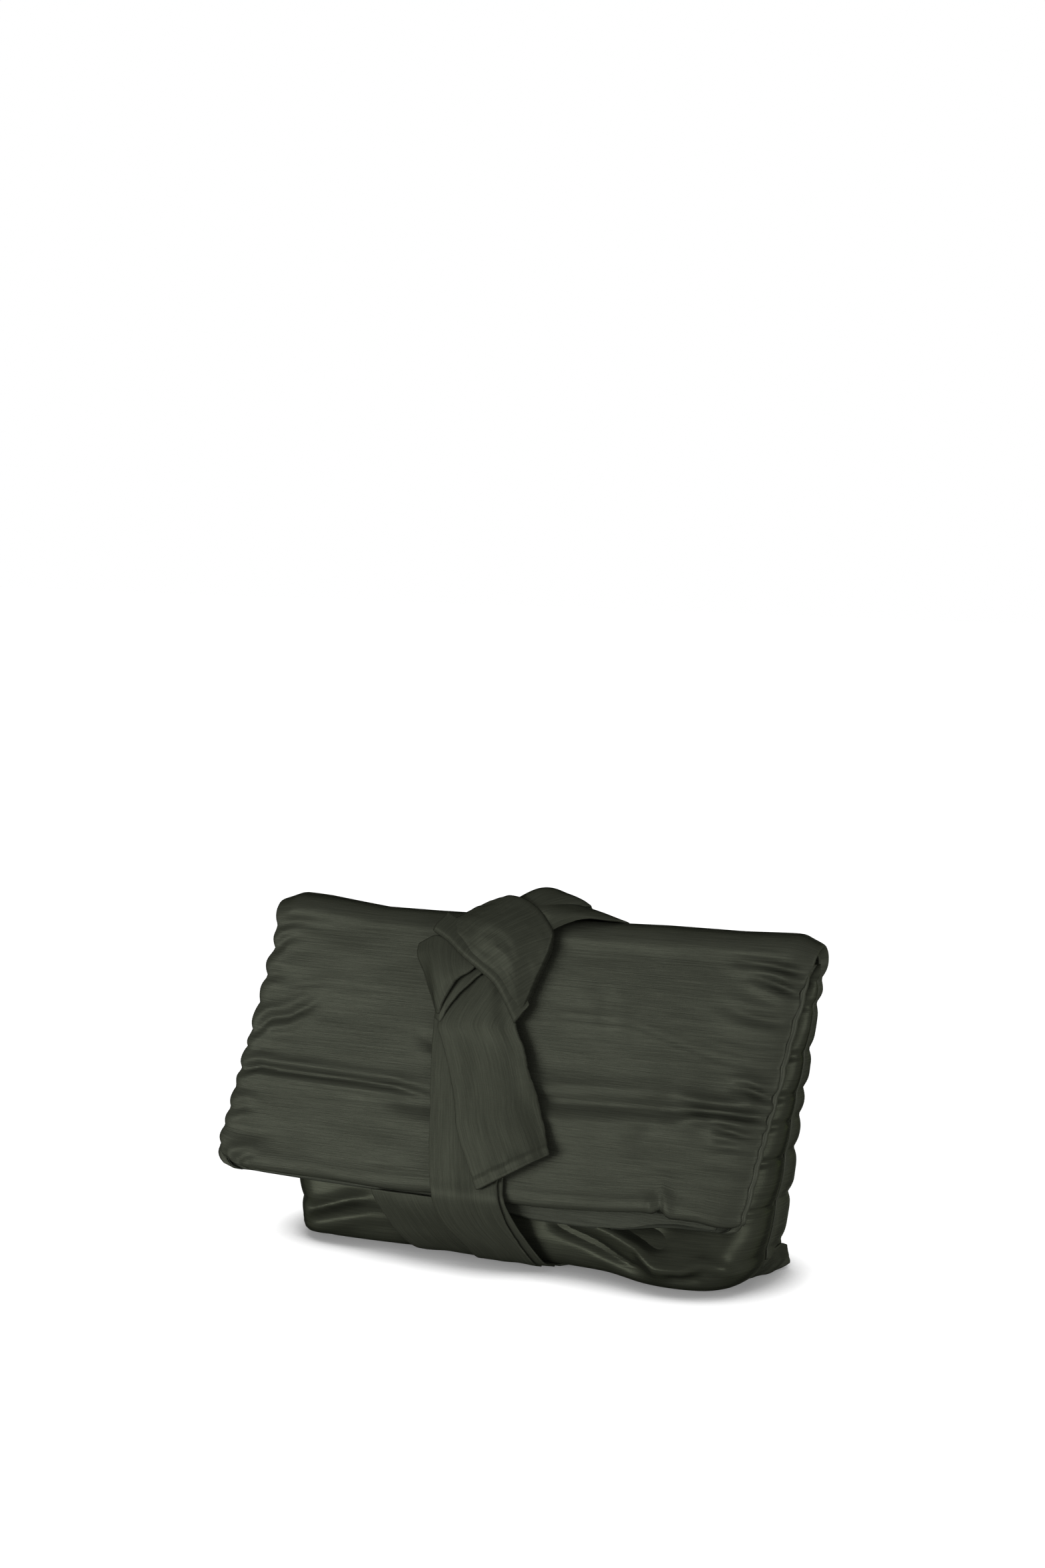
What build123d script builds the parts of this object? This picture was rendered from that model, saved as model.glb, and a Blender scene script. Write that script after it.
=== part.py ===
"""Fold-over fabric gift sack with a tied sash.

A padded two-panel sack with boxed bottom corners. Its upper half folds forward over the front, so
that the mouth hangs at the front's lower edge. A wide doubled sash runs round the folded sack, is
tied at the front of the fold, and lets one tail hang.

+X runs along the fold, -Y is the front, +Z is up. The origin is the middle of the footprint, on
the surface that the sack stands on. Millimetres.
"""
from build123d import *
import math
import os

# ---- driving dimensions -------------------------------------------------------------------------
TOP_HALF_WIDTH = 148.0  # the sack, with its side seams, is 302 wide at the fold
BASE_HALF_WIDTH = 126.0  # and narrower at its boxed base
BASE_SHIFT = 2.0  # the base stands a little to the right of the fold's middle
BASE_Z = 1.9  # the sash's under strand lies below the base
SACK_TOP_Z = 155.0  # where the sack's walls end and the fold starts
CREASE_Z = 163.0  # height of the crease that the flap turns about
CREASE_Y = -2.2
WALL_BACK_LEAN = 0.109  # how far the sack's middle leans back, per millimetre of height
MIDDLE_Y_AT_FLOOR = -13.8
TOP_HALF_DEPTH = 7.5
HALF_DEPTH_SLOPE = 0.203  # growth of the half depth, per millimetre down from the top
FULL_DEPTH_Z = 34.0  # below this height the walls stop widening
BASE_ROUNDING = 11.0
END_TAPER = 16.0  # over this length the walls close towards the side seams
END_FACETS = 5  # flats in each quarter of a closing end

CLOTH = 0.8  # outer satin
WADDING = 2.0
LINING = 0.6
WALL = CLOTH + WADDING + LINING

FLAP_HEM_Z = 37.0  # lower edge of the flap's front layer
INNER_HEM_Z = 32.0  # the layer behind it hangs a little lower
FLAP_TOP_MIDDLE_Y = -7.1
FLAP_SLOPE = 0.315  # the flap's middle comes forward, per millimetre down
FLAP_TOP_HALF_DEPTH = 4.5
FLAP_HEM_HALF_DEPTH = 5.1
FLAP_TOP_HALF_WIDTH = 148.0
FLAP_HEM_HALF_WIDTH = 149.5
FLAP_TOP_SHIFT = -1.0
FLAP_HEM_SHIFT = -21.5  # the flap lies askew, to the left
FLAP_END_TAPER = 12.0
HEM_HEIGHT = 6.0

FOLD_RADIUS = 11.0
FOLD_Y = -0.5
SEAM_WIDTH = 3.0
SEAM_THICKNESS = 1.6
TUCK_REACH = 13.0
TUCK_ROOT = 12.0  # how far the tuck runs in under the sack's end
TUCK_FRONT = -19.0
TUCK_TIP = 22.0
TUCK_BACK = 28.0
TUCK_HEIGHT = 17.0
TUCK_TAPER_DEG = 30.0

SASH = 1.5  # a doubled strip of satin
SASH_CLEARANCE = 0.9
BACK_STRAND_TOP_Z = 148.0
KNOT_LOW_Z = 124.0
KNOT_DEPTH = 17.0
KNOT_BACK_Y = -12.9  # behind this the gathered cloth belongs to the band over the fold
LOOP_DEPTH_SHARE = 0.62  # the knot's left loop stands this share of its depth off the flap
TAIL_THICKNESS = 1.8
TAIL_CORNER = 4.0
TAIL_STAND_OFF_DEG = 3.0  # its lower end stands a little further off the flap

# outlines of the sash's parts, as (x, z) corners seen from the front
FRONT_STRAND = [(-46, 130), (4, 130), (2, 56), (7, 36), (29, -2), (-44, -2), (-46.5, 34)]
FRONT_PLEAT = [(-67, 31), (-46.6, 31), (-44.6, 4), (-48, 8)]
BACK_STRAND = [(-20, 150), (44, 150), (58, -2), (-12, -2)]
TOP_STRAND = [(-34, 140), (-34, 184), (8, 190.5), (36, 181), (45, 174), (45, 140)]
KNOT_WRAP = [(-52, 168), (-24, 178), (8, 166), (9, 146), (2, 126), (-26, 126), (-40, 146)]
KNOT_LOOP = [(-67, 160), (-53.5, 167), (-41.5, 146), (-31, 129), (-47, 127), (-60, 138)]
TAIL = [(-42, 122.5), (0, 122.5), (12, 100), (31, 62), (-9, 42), (-24, 70), (-36, 98)]

CENTRE_X = 11.5  # brings the bounding box's middle to the origin
CENTRE_Y = 17.3

PLACE = Pos(CENTRE_X, CENTRE_Y, 0)


# ---- the sack's form ----------------------------------------------------------------------------
def middle_y(z):
    """The plane that the side seams lie in."""
    return MIDDLE_Y_AT_FLOOR + WALL_BACK_LEAN * z


def middle_x(z):
    """The middle of the sack's width at height z."""
    return BASE_SHIFT * (SACK_TOP_Z - z) / (SACK_TOP_Z - BASE_Z)


def base_inset(z):
    """How far the rounded bottom edge has drawn in at height z."""
    rise = min(max(z - BASE_Z, 0.0), BASE_ROUNDING)
    return BASE_ROUNDING - math.sqrt(BASE_ROUNDING**2 - (BASE_ROUNDING - rise) ** 2)


def half_depth(z):
    return TOP_HALF_DEPTH + HALF_DEPTH_SLOPE * (SACK_TOP_Z - max(z, FULL_DEPTH_Z)) - base_inset(z)


def half_width(z):
    share = (z - BASE_Z) / (SACK_TOP_Z - BASE_Z)
    return BASE_HALF_WIDTH + (TOP_HALF_WIDTH - BASE_HALF_WIDTH) * share - base_inset(z)


def pillow_section(z, centre_x, centre_y, wide, deep, taper):
    """A flat-sided section at height z whose ends close in half ellipses towards the side seams."""
    turns = [math.radians(90 * n / END_FACETS) for n in range(END_FACETS + 1)]
    quarter = [(wide - taper + taper * math.sin(a), deep * math.cos(a)) for a in turns]
    half = quarter + [(x, -y) for x, y in reversed(quarter[:-1])]
    outline = half + [(-x, y) for x, y in reversed(half)]
    points = [(centre_x + x, centre_y + y, z) for x, y in outline]
    return make_face(Polyline(*points, close=True))


def sack_form(inset, top_z):
    """The sack's closed form, drawn in on every side by inset."""
    heights = [BASE_Z + share * BASE_ROUNDING for share in (0, 0.1, 0.4, 1)]
    heights += [FULL_DEPTH_Z, top_z]
    sections = []
    for z in heights:
        lifted = z + inset * (SACK_TOP_Z - z) / (SACK_TOP_Z - BASE_Z)
        deep = half_depth(z) - inset
        wide = half_width(z) - 1.5 * inset
        centre = middle_x(lifted)
        sections.append(pillow_section(lifted, centre, middle_y(lifted), wide, deep, END_TAPER))
    return loft(sections, ruled=True)


def flap_middle_y(z):
    """The plane between the flap's two layers."""
    return FLAP_TOP_MIDDLE_Y - FLAP_SLOPE * (CREASE_Z - z)


def flap_share(z):
    """How far down the flap height z is, from 0 at the crease to 1 at the front layer's hem."""
    return (CREASE_Z - z) / (CREASE_Z - FLAP_HEM_Z)


def flap_middle_x(z):
    return FLAP_TOP_SHIFT + (FLAP_HEM_SHIFT - FLAP_TOP_SHIFT) * flap_share(z)


def flap_half_depth(z):
    return FLAP_TOP_HALF_DEPTH + (FLAP_HEM_HALF_DEPTH - FLAP_TOP_HALF_DEPTH) * flap_share(z)


def flap_half_width(z):
    return FLAP_TOP_HALF_WIDTH + (FLAP_HEM_HALF_WIDTH - FLAP_TOP_HALF_WIDTH) * flap_share(z)


def flap_form(inset, low_z, high_z):
    """The flap's form between two heights, drawn in by inset."""
    sections = []
    for z in (low_z, high_z):
        deep = flap_half_depth(z) - inset
        wide = flap_half_width(z) - 1.5 * inset
        sections.append(
            pillow_section(z, flap_middle_x(z), flap_middle_y(z), wide, deep, FLAP_END_TAPER)
        )
    return loft(sections, ruled=True)


def seam_plane(lean, at_floor):
    """A plane through the X axis direction that leans back by lean, facing the back."""
    return Plane(origin=(0, at_floor, 0), x_dir=(1, 0, 0), z_dir=(0, 1, -lean))


SACK_PLANE = seam_plane(WALL_BACK_LEAN, MIDDLE_Y_AT_FLOOR)
FLAP_PLANE = seam_plane(FLAP_SLOPE, flap_middle_y(0))


def one_solid(shape):
    """The largest solid of a cut, without the slivers that a tangent cut can leave."""
    return max(shape.solids(), key=lambda s: s.volume)


def front_half(shape, plane):
    return one_solid(split(shape, bisect_by=plane, keep=Keep.BOTTOM))


def back_half(shape, plane):
    return one_solid(split(shape, bisect_by=plane, keep=Keep.TOP))


def below(z):
    return Pos(0, 0, z - 300) * Box(600, 600, 600)


def above(z):
    return Pos(0, 0, z + 300) * Box(600, 600, 600)


# ---- the sack: two panels, each of satin, wadding and lining --------------------------------------
def sack_walls():
    depths = [0.0, CLOTH, CLOTH + WADDING, WALL]
    forms = [sack_form(depth, SACK_TOP_Z + 2 * (depth > 0)) for depth in depths]
    nodes = {}
    for layer, outer, inner in zip(("panel", "wadding", "lining"), forms, forms[1:]):
        shell = (outer - inner) - above(SACK_TOP_Z)
        nodes["front_" + layer] = front_half(shell, SACK_PLANE)
        nodes["back_" + layer] = back_half(shell, SACK_PLANE)
    return nodes, forms[0]


def side_seam(side, outer):
    """The bound edge that joins the two panels, standing out from the sack's side."""
    low, high = BASE_Z + BASE_ROUNDING, SACK_TOP_Z
    corners = []
    for z, out in ((low, -2), (low, SEAM_WIDTH), (high, SEAM_WIDTH), (high, -2)):
        corners.append((middle_x(z) + side * (half_width(z) + out), middle_y(z), z))
    face = make_face(Polyline(*corners, close=True))
    strip = extrude(face, amount=SEAM_THICKNESS / 2, dir=(0, 1, -WALL_BACK_LEAN), both=True)
    return one_solid(strip - outer)


def corner_tuck(side, outer):
    """The doubled triangle of cloth that boxing the corner leaves at the base's end."""
    z_low = BASE_Z + 1.5
    root = half_width(z_low + 5) - TUCK_ROOT
    middle = middle_y(z_low)
    with BuildSketch(Plane.XY.offset(z_low)) as foot:
        with BuildLine():
            Polyline(
                (root, middle + TUCK_FRONT),
                (root + TUCK_ROOT + TUCK_REACH, middle + TUCK_TIP),
                (root, middle + TUCK_BACK),
                close=True,
            )
        make_face()
        fillet(foot.vertices(), 3)
    tuck = extrude(foot.sketch, amount=TUCK_HEIGHT, taper=TUCK_TAPER_DEG)
    if side < 0:
        tuck = mirror(tuck, about=Plane.YZ)
    return one_solid(Pos(middle_x(z_low), 0, 0) * tuck - outer)


# ---- the flap: the same two panels, continued over the fold ---------------------------------------
def flap_layers():
    depths = [0.0, CLOTH, CLOTH + WADDING, WALL]
    forms = [
        flap_form(depth, INNER_HEM_Z - 2 * (depth > 0), CREASE_Z + 2 * (depth > 0))
        for depth in depths
    ]
    nodes = {}
    for layer, outer, inner in zip(("panel", "wadding", "lining"), forms, forms[1:]):
        shell = (outer - inner) - above(CREASE_Z)
        front = front_half(shell, FLAP_PLANE) - below(FLAP_HEM_Z + HEM_HEIGHT)
        inside = back_half(shell, FLAP_PLANE) - below(INNER_HEM_Z + HEM_HEIGHT)
        nodes["flap_front_" + layer] = one_solid(front)
        nodes["flap_inner_" + layer] = one_solid(inside)
    whole = forms[0] - forms[3]
    front = front_half(whole, FLAP_PLANE) & (above(FLAP_HEM_Z) - above(FLAP_HEM_Z + HEM_HEIGHT))
    inside = back_half(whole, FLAP_PLANE) - above(INNER_HEM_Z + HEM_HEIGHT)
    nodes["mouth_hem_front"] = one_solid(front)
    nodes["mouth_hem_inner"] = one_solid(inside)
    return nodes, forms[0]


def flap_seam(side, outer):
    """The bound side edge of the flap, a narrow strip that shows beside its front layer."""
    corners = []
    for z, out in ((FLAP_HEM_Z, -2), (FLAP_HEM_Z, SEAM_WIDTH), (CREASE_Z, SEAM_WIDTH), (CREASE_Z, -2)):
        edge = flap_middle_x(z) + side * (flap_half_width(z) + out)
        corners.append((edge, flap_middle_y(z), z))
    face = make_face(Polyline(*corners, close=True))
    strip = extrude(face, amount=SEAM_THICKNESS / 2, dir=(0, 1, -FLAP_SLOPE), both=True)
    return one_solid(strip - outer - above(CREASE_Z))


# ---- the fold: each panel's turn over the crease --------------------------------------------------
def turned_strip(outer_radius, thickness, centre_y, leg_z, half_length):
    """A half ring over the crease with a straight leg down to the sack's back, closed at its ends."""
    inner_radius = outer_radius - thickness
    with BuildSketch(Plane.YZ.offset(-half_length)) as profile:
        with BuildLine():
            CenterArc((centre_y, CREASE_Z), outer_radius, 0, 180)
            Line((centre_y - outer_radius, CREASE_Z), (centre_y - inner_radius, CREASE_Z))
            CenterArc((centre_y, CREASE_Z), inner_radius, 0, 180)
            Line((centre_y + inner_radius, CREASE_Z), (centre_y + inner_radius, leg_z))
            Line((centre_y + inner_radius, leg_z), (centre_y + outer_radius, leg_z))
            Line((centre_y + outer_radius, leg_z), (centre_y + outer_radius, CREASE_Z))
        make_face()
    return extrude(profile.sketch, amount=2 * half_length)


def outer_fold():
    strip = turned_strip(FOLD_RADIUS, WALL, FOLD_Y, SACK_TOP_Z, TOP_HALF_WIDTH - 4)
    return one_solid(strip)


def inner_fold():
    radius = WALL + 0.3
    strip = turned_strip(radius, WALL, CREASE_Y, SACK_TOP_Z, TOP_HALF_WIDTH - 12)
    return one_solid(strip)


# ---- the sash --------------------------------------------------------------------------------------
def beside(points, distance):
    """The path of (y, z) points moved to its left by distance, its corners mitred."""
    legs = [Vector(*after) - Vector(*before) for before, after in zip(points, points[1:])]
    normals = [Vector(-leg.Y, leg.X).normalized() for leg in legs]
    moved = []
    for point, before, after in zip(points, [normals[0]] + normals, normals + [normals[-1]]):
        step = (before + after) * (distance / (1 + before.dot(after)))
        moved.append((point[0] + step.X, point[1] + step.Y))
    return moved


def sash_ribbon(points, rounding, x_low, x_high):
    """A strip of cloth along a path of (y, z) points, its thickness on the path's right side."""
    far_side = beside(points, -SASH)
    with BuildSketch(Plane.YZ.offset(x_low)) as profile:
        with BuildLine():
            FilletPolyline(*points, radius=rounding)
            Line(points[-1], far_side[-1])
            FilletPolyline(*reversed(far_side), radius=rounding)
            Line(far_side[0], points[0])
        make_face()
    return extrude(profile.sketch, amount=x_high - x_low)


def seen_from_front(corners, rounding):
    """A prism along Y with a rounded outline of (x, z) corners."""
    outline = make_face(Polyline(*[(x, 0, z) for x, z in corners], close=True))
    prism = extrude(outline, amount=200, dir=(0, 1, 0), both=True)
    if rounding:
        prism = fillet(prism.edges().filter_by(Axis.Y), rounding)
    return prism


def flap_face_y(z):
    """The flap's outer face in the middle of its width."""
    return flap_middle_y(z) - flap_half_depth(z)


def front_ribbon():
    """The strip's path down the flap, round its hem and down the sack's lower front."""
    on_flap = flap_face_y(FLAP_HEM_Z) - SASH_CLEARANCE
    on_sack = middle_y(12) - half_depth(13) - SASH_CLEARANCE
    points = [(flap_face_y(KNOT_LOW_Z) - SASH_CLEARANCE, KNOT_LOW_Z), (on_flap, FLAP_HEM_Z - 1)]
    points += [(on_flap + 5, 28.5), (on_sack, 19), (on_sack, 8), (on_sack + 6, 1.9)]
    return sash_ribbon(points, 3.0, -90, 60)


def sash_front_strand():
    """From under the knot to the bottom edge, widening to the right below the hem."""
    return one_solid(front_ribbon() & seen_from_front(FRONT_STRAND, 0))


def sash_front_pleat():
    """The strip's second layer, which shows only below the hem, left of the first."""
    return one_solid(front_ribbon() & seen_from_front(FRONT_PLEAT, 0))


def sash_under_strand():
    """Flat below the base, running slightly to the right towards the back."""
    front = middle_y(BASE_Z) - half_depth(BASE_Z) - 0.5
    back = middle_y(BASE_Z) + half_depth(BASE_Z) + 0.5
    with BuildSketch() as flat:
        with BuildLine():
            Polyline((-44, front), (29, front), (58, back), (-12, back), close=True)
        make_face()
    return one_solid(extrude(flat.sketch, amount=SASH - 0.3))


def sash_back_strand():
    """Up the sack's back from the bottom edge to the fold."""
    edge = middle_y(BASE_Z) + half_depth(BASE_Z)
    points = [(edge + 1, 1.2), (edge + 8.5, 2.2), (edge + 12.4, 7.5)]
    for z in (14, FULL_DEPTH_Z, BACK_STRAND_TOP_Z):
        points.append((middle_y(z) + half_depth(z) + SASH_CLEARANCE, z))
    ribbon = sash_ribbon(points, 3.0, -60, 90)
    return one_solid((ribbon & seen_from_front(BACK_STRAND, 0)) & above(0.0))


def sash_top_strand():
    """The gathered band over the fold, standing proud of it beside the knot."""
    inner = FOLD_RADIUS + SASH_CLEARANCE
    low = BACK_STRAND_TOP_Z + 0.5
    back_low = (FOLD_Y + inner, low)
    front_low = (FOLD_Y - inner, CREASE_Z)
    with BuildSketch(Plane.YZ.offset(-40)) as profile:
        with BuildLine():
            CenterArc((FOLD_Y, CREASE_Z), inner, 0, 180)
            Line((FOLD_Y + inner, CREASE_Z), back_low)
            FilletPolyline(
                back_low,
                (FOLD_Y + inner + 2, low),
                (FOLD_Y + inner + 2, 174),
                (FOLD_Y + 1, 190.5),
                (FOLD_Y - inner - 3, 188),
                front_low,
                radius=(1.0, 12.0, 7.0, 6.0),
            )
        make_face()
    band = extrude(profile.sketch, amount=90)
    before_knot = Pos(0, KNOT_BACK_Y + 0.4 - 50, CREASE_Z) * Box(400, 100, 100)
    return one_solid((band & seen_from_front(TOP_STRAND, 4)) - before_knot)


def on_flap_plane(z):
    """A plane on the flap's outer face at height z, its normal pointing out of the flap."""
    slope = FLAP_SLOPE + (FLAP_HEM_HALF_DEPTH - FLAP_TOP_HALF_DEPTH) / (CREASE_Z - FLAP_HEM_Z)
    origin = (0, flap_face_y(z) - SASH_CLEARANCE, z)
    return Plane(origin=origin, x_dir=(1, 0, 0), z_dir=(0, -1, slope))


def knot_pad(corners, depth, rounding, lift=0.0):
    """A rounded pad of gathered satin on the flap's face, with (x, z) corners seen from the front."""
    plane = on_flap_plane(KNOT_LOW_Z).offset(lift)
    slant = 1 / plane.y_dir.Z
    with BuildSketch(plane) as outline:
        with BuildLine():
            Polyline(*[(x, (z - KNOT_LOW_Z) * slant) for x, z in corners], close=True)
        make_face()
        fillet(outline.vertices(), rounding)
    pad = extrude(outline.sketch, amount=depth)
    outer_edges = pad.faces().sort_by(Axis((0, 0, 0), tuple(plane.z_dir)))[-1].edges()
    pad = fillet(outer_edges, min(rounding, 0.6 * depth))
    behind_fold = Pos(0, KNOT_BACK_Y + 50, 0) * Box(400, 100, 400 + 2 * CREASE_Z)
    return one_solid(pad - behind_fold)


def knot_wrap():
    """The broad band that crosses the knot's front, from its upper left to its lower right."""
    return knot_pad(KNOT_WRAP, KNOT_DEPTH, 6)


def knot_loop():
    """The narrower turn that comes down the knot's left side."""
    return knot_pad(KNOT_LOOP, LOOP_DEPTH_SHARE * KNOT_DEPTH, 3)


def sash_tail():
    """The hanging end: a flat doubled strip, cut aslant, below the knot."""
    plane = on_flap_plane(KNOT_LOW_Z).offset(SASH + 0.5).rotated((-TAIL_STAND_OFF_DEG, 0, 0))
    slant = 1 / plane.y_dir.Z
    with BuildSketch(plane) as outline:
        with BuildLine():
            Polyline(*[(x, (z - KNOT_LOW_Z) * slant) for x, z in TAIL], close=True)
        make_face()
        fillet(outline.vertices(), TAIL_CORNER)
    return one_solid(extrude(outline.sketch, amount=TAIL_THICKNESS))


# ---- building and writing --------------------------------------------------------------------------
def main():
    nodes, sack_outer = sack_walls()
    layers, flap_outer = flap_layers()
    nodes.update(layers)
    for name, side in (("left", -1), ("right", 1)):
        nodes["side_seam_" + name] = side_seam(side, sack_outer)
        nodes["flap_seam_" + name] = flap_seam(side, flap_outer)
        nodes["corner_tuck_" + name] = corner_tuck(side, sack_outer) - nodes["side_seam_" + name]
    nodes["fold_outer"] = outer_fold()
    nodes["fold_inner"] = inner_fold()
    nodes["sash_front_strand"] = sash_front_strand()
    nodes["sash_front_pleat"] = sash_front_pleat()
    nodes["sash_under_strand"] = sash_under_strand()
    nodes["sash_back_strand"] = sash_back_strand()
    nodes["sash_top_strand"] = sash_top_strand()
    nodes["sash_knot_wrap"] = knot_wrap()
    nodes["sash_knot_loop"] = knot_loop() - nodes["sash_knot_wrap"]
    nodes["sash_tail"] = sash_tail()
    os.makedirs("parts", exist_ok=True)
    for name, solid in nodes.items():
        export_step(PLACE * solid, os.path.join("parts", name + ".step"))
    whole = Compound(children=[PLACE * solid for solid in nodes.values()]).bounding_box()
    print("x", whole.min.X, whole.max.X, "y", whole.min.Y, whole.max.Y, "z", whole.min.Z, whole.max.Z)


main()
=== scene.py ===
import bpy
import math
import numpy as np
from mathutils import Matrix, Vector

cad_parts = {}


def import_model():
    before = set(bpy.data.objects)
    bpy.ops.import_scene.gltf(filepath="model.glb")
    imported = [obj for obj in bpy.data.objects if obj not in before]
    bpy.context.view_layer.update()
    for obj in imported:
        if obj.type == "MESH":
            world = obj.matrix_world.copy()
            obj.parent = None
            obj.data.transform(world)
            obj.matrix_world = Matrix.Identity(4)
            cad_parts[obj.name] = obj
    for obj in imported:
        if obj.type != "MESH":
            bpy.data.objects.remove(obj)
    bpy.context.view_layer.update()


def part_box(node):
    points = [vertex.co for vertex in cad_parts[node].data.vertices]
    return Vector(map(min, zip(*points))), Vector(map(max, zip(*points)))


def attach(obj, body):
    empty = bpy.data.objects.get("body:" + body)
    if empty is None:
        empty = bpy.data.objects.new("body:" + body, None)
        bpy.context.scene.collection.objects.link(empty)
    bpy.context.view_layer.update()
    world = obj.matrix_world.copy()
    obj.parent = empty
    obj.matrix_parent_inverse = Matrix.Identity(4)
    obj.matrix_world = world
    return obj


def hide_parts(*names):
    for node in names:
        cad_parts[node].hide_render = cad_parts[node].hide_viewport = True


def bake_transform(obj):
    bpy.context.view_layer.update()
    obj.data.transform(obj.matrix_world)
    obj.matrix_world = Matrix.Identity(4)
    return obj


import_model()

SEED = 7
NOISE_CELLS = 64  # the noise repeats after so many features
SPLINE_STEPS = 24  # points worked out between two given points of a curve
WEAVE_UNIT = 100.0  # millimetres of cloth to one unit of the weave's texture
EDGE_UNEVENNESS = 0.45  # how far a strip's long edges wander in and out
LIP_AWAY, LIP_WIDTH = 2.2, 1.3  # where a crease's lips lie and how wide they are, in its own widths

# ---- the sack's dimensions, as in the CAD ---------------------------------------------------------
TOP_HALF_WIDTH, BASE_HALF_WIDTH, BASE_SHIFT = 148.0, 126.0, 2.0
BASE_Z, SACK_TOP_Z = 1.9, 155.0
CREASE_Y, CREASE_Z = -2.2, 163.0
MIDDLE_Y_AT_FLOOR, WALL_BACK_LEAN = -13.8, 0.109
TOP_HALF_DEPTH, HALF_DEPTH_SLOPE, FULL_DEPTH_Z = 7.5, 0.203, 34.0
BASE_ROUNDING, END_TAPER = 11.0, 20.0
WALL, LINING = 3.4, 0.7
FLAP_HEM_Z, INNER_HEM_Z = 37.0, 32.0
FLAP_TOP_MIDDLE_Y, FLAP_SLOPE = -7.1, 0.315
FLAP_TOP_HALF_DEPTH, FLAP_HEM_HALF_DEPTH = 4.5, 5.1
FLAP_TOP_HALF_WIDTH, FLAP_HEM_HALF_WIDTH = 148.0, 149.5
FLAP_TOP_SHIFT, FLAP_HEM_SHIFT = -1.0, -21.5
FOLD_RADIUS, FOLD_Y = 11.0, -0.5
SEAM_FOLD_RADIUS = 5.1

# Everything below is in millimetres in the sack's own frame, where the fold runs along X, and is
# moved into the row frame when a mesh is made: the fold's own node shows where that frame lies.
fold_low, fold_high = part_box("fold_outer")
ORIGIN = np.array(((fold_low[0] + fold_high[0]) * 500.0, fold_high[1] * 1000.0 - FOLD_Y - FOLD_RADIUS, 0.0))


def in_frame(x, y, z):
    """A point of the sack's own frame, in metres in the row frame."""
    return tuple((ORIGIN + (x, y, z)) / 1000)


def middle_y(z):
    return MIDDLE_Y_AT_FLOOR + WALL_BACK_LEAN * z


def half_depth(z):
    return TOP_HALF_DEPTH + HALF_DEPTH_SLOPE * (SACK_TOP_Z - np.maximum(z, FULL_DEPTH_Z))


def half_width(z):
    return BASE_HALF_WIDTH + (TOP_HALF_WIDTH - BASE_HALF_WIDTH) * (z - BASE_Z) / (SACK_TOP_Z - BASE_Z)


def middle_x(z):
    return BASE_SHIFT * np.clip((SACK_TOP_Z - z) / (SACK_TOP_Z - BASE_Z), 0, 1)


def flap_share(z):
    return (CREASE_Z - z) / (CREASE_Z - FLAP_HEM_Z)


def flap_middle_y(z):
    return FLAP_TOP_MIDDLE_Y - FLAP_SLOPE * (CREASE_Z - z)


def flap_half_depth(z):
    return FLAP_TOP_HALF_DEPTH + (FLAP_HEM_HALF_DEPTH - FLAP_TOP_HALF_DEPTH) * flap_share(z)


def flap_half_width(z):
    return FLAP_TOP_HALF_WIDTH + (FLAP_HEM_HALF_WIDTH - FLAP_TOP_HALF_WIDTH) * flap_share(z)


def flap_face_y(z):
    return flap_middle_y(z) - flap_half_depth(z)


def flap_middle_x(z):
    return FLAP_TOP_SHIFT + (FLAP_HEM_SHIFT - FLAP_TOP_SHIFT) * np.clip(flap_share(z), -0.05, 1.1)


def seam_on_flap(seam):
    """Where a path of seam points (y, z) runs on the flap and not on the sack behind it."""
    return seam[:, 0] < flap_middle_y(seam[:, 1]) + 2.5


# ---- helpers ---------------------------------------------------------------------------------------
def smooth(low, high, value):
    t = np.clip((value - low) / (high - low), 0.0, 1.0)
    return t * t * (3 - 2 * t)


def run_length(points):
    return np.concatenate(([0], np.cumsum(np.linalg.norm(np.diff(points, axis=0), axis=1))))


def spline(points, count):
    """count points, evenly spaced along a Catmull-Rom spline through points."""
    p = np.asarray(points, float)
    q = np.vstack((2 * p[0] - p[1], p, 2 * p[-1] - p[-2]))
    t = np.linspace(0, 1, SPLINE_STEPS, endpoint=False)[:, None]
    dense = []
    for a, b, c, d in zip(q, q[1:], q[2:], q[3:]):
        dense.append(0.5 * (2 * b + (c - a) * t + (2 * a - 5 * b + 4 * c - d) * t**2
                            + (3 * b - a - 3 * c + d) * t**3))
    dense = np.vstack(dense + [p[-1:]])
    run = run_length(dense)
    at = np.linspace(0, run[-1], count)
    return np.stack([np.interp(at, run, column) for column in dense.T], axis=1)


def unit(v):
    return v / np.maximum(np.linalg.norm(v, axis=-1, keepdims=True), 1e-9)


def grid_normals(grid):
    across = np.gradient(grid, axis=1)
    along = np.gradient(grid, axis=0)
    return unit(np.cross(across, along))


def parts(grid):
    """The three coordinates of a grid's points, each as an array of its own."""
    return np.moveaxis(grid, -1, 0)


def value_noise(x, y, seed):
    """Smooth noise from -1 to 1 with features one unit across."""
    table = np.random.RandomState(seed).uniform(-1, 1, (NOISE_CELLS, NOISE_CELLS))
    column, row = np.floor(x).astype(int), np.floor(y).astype(int)
    fx, fy = smooth(0, 1, x - column), smooth(0, 1, y - row)

    def level(step):
        cells = table[(row + step) % NOISE_CELLS, column % NOISE_CELLS]
        next_cells = table[(row + step) % NOISE_CELLS, (column + 1) % NOISE_CELLS]
        return cells * (1 - fx) + next_cells * fx

    return level(0) * (1 - fy) + level(1) * fy


def fractal(x, y, seed, octaves=3):
    total, size = 0.0, 1.0
    for n in range(octaves):
        total = total + value_noise(x * 2**n + 9.3 * n, y * 2**n + 4.7 * n, seed + n) * size
        size *= 0.5
    return total


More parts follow.
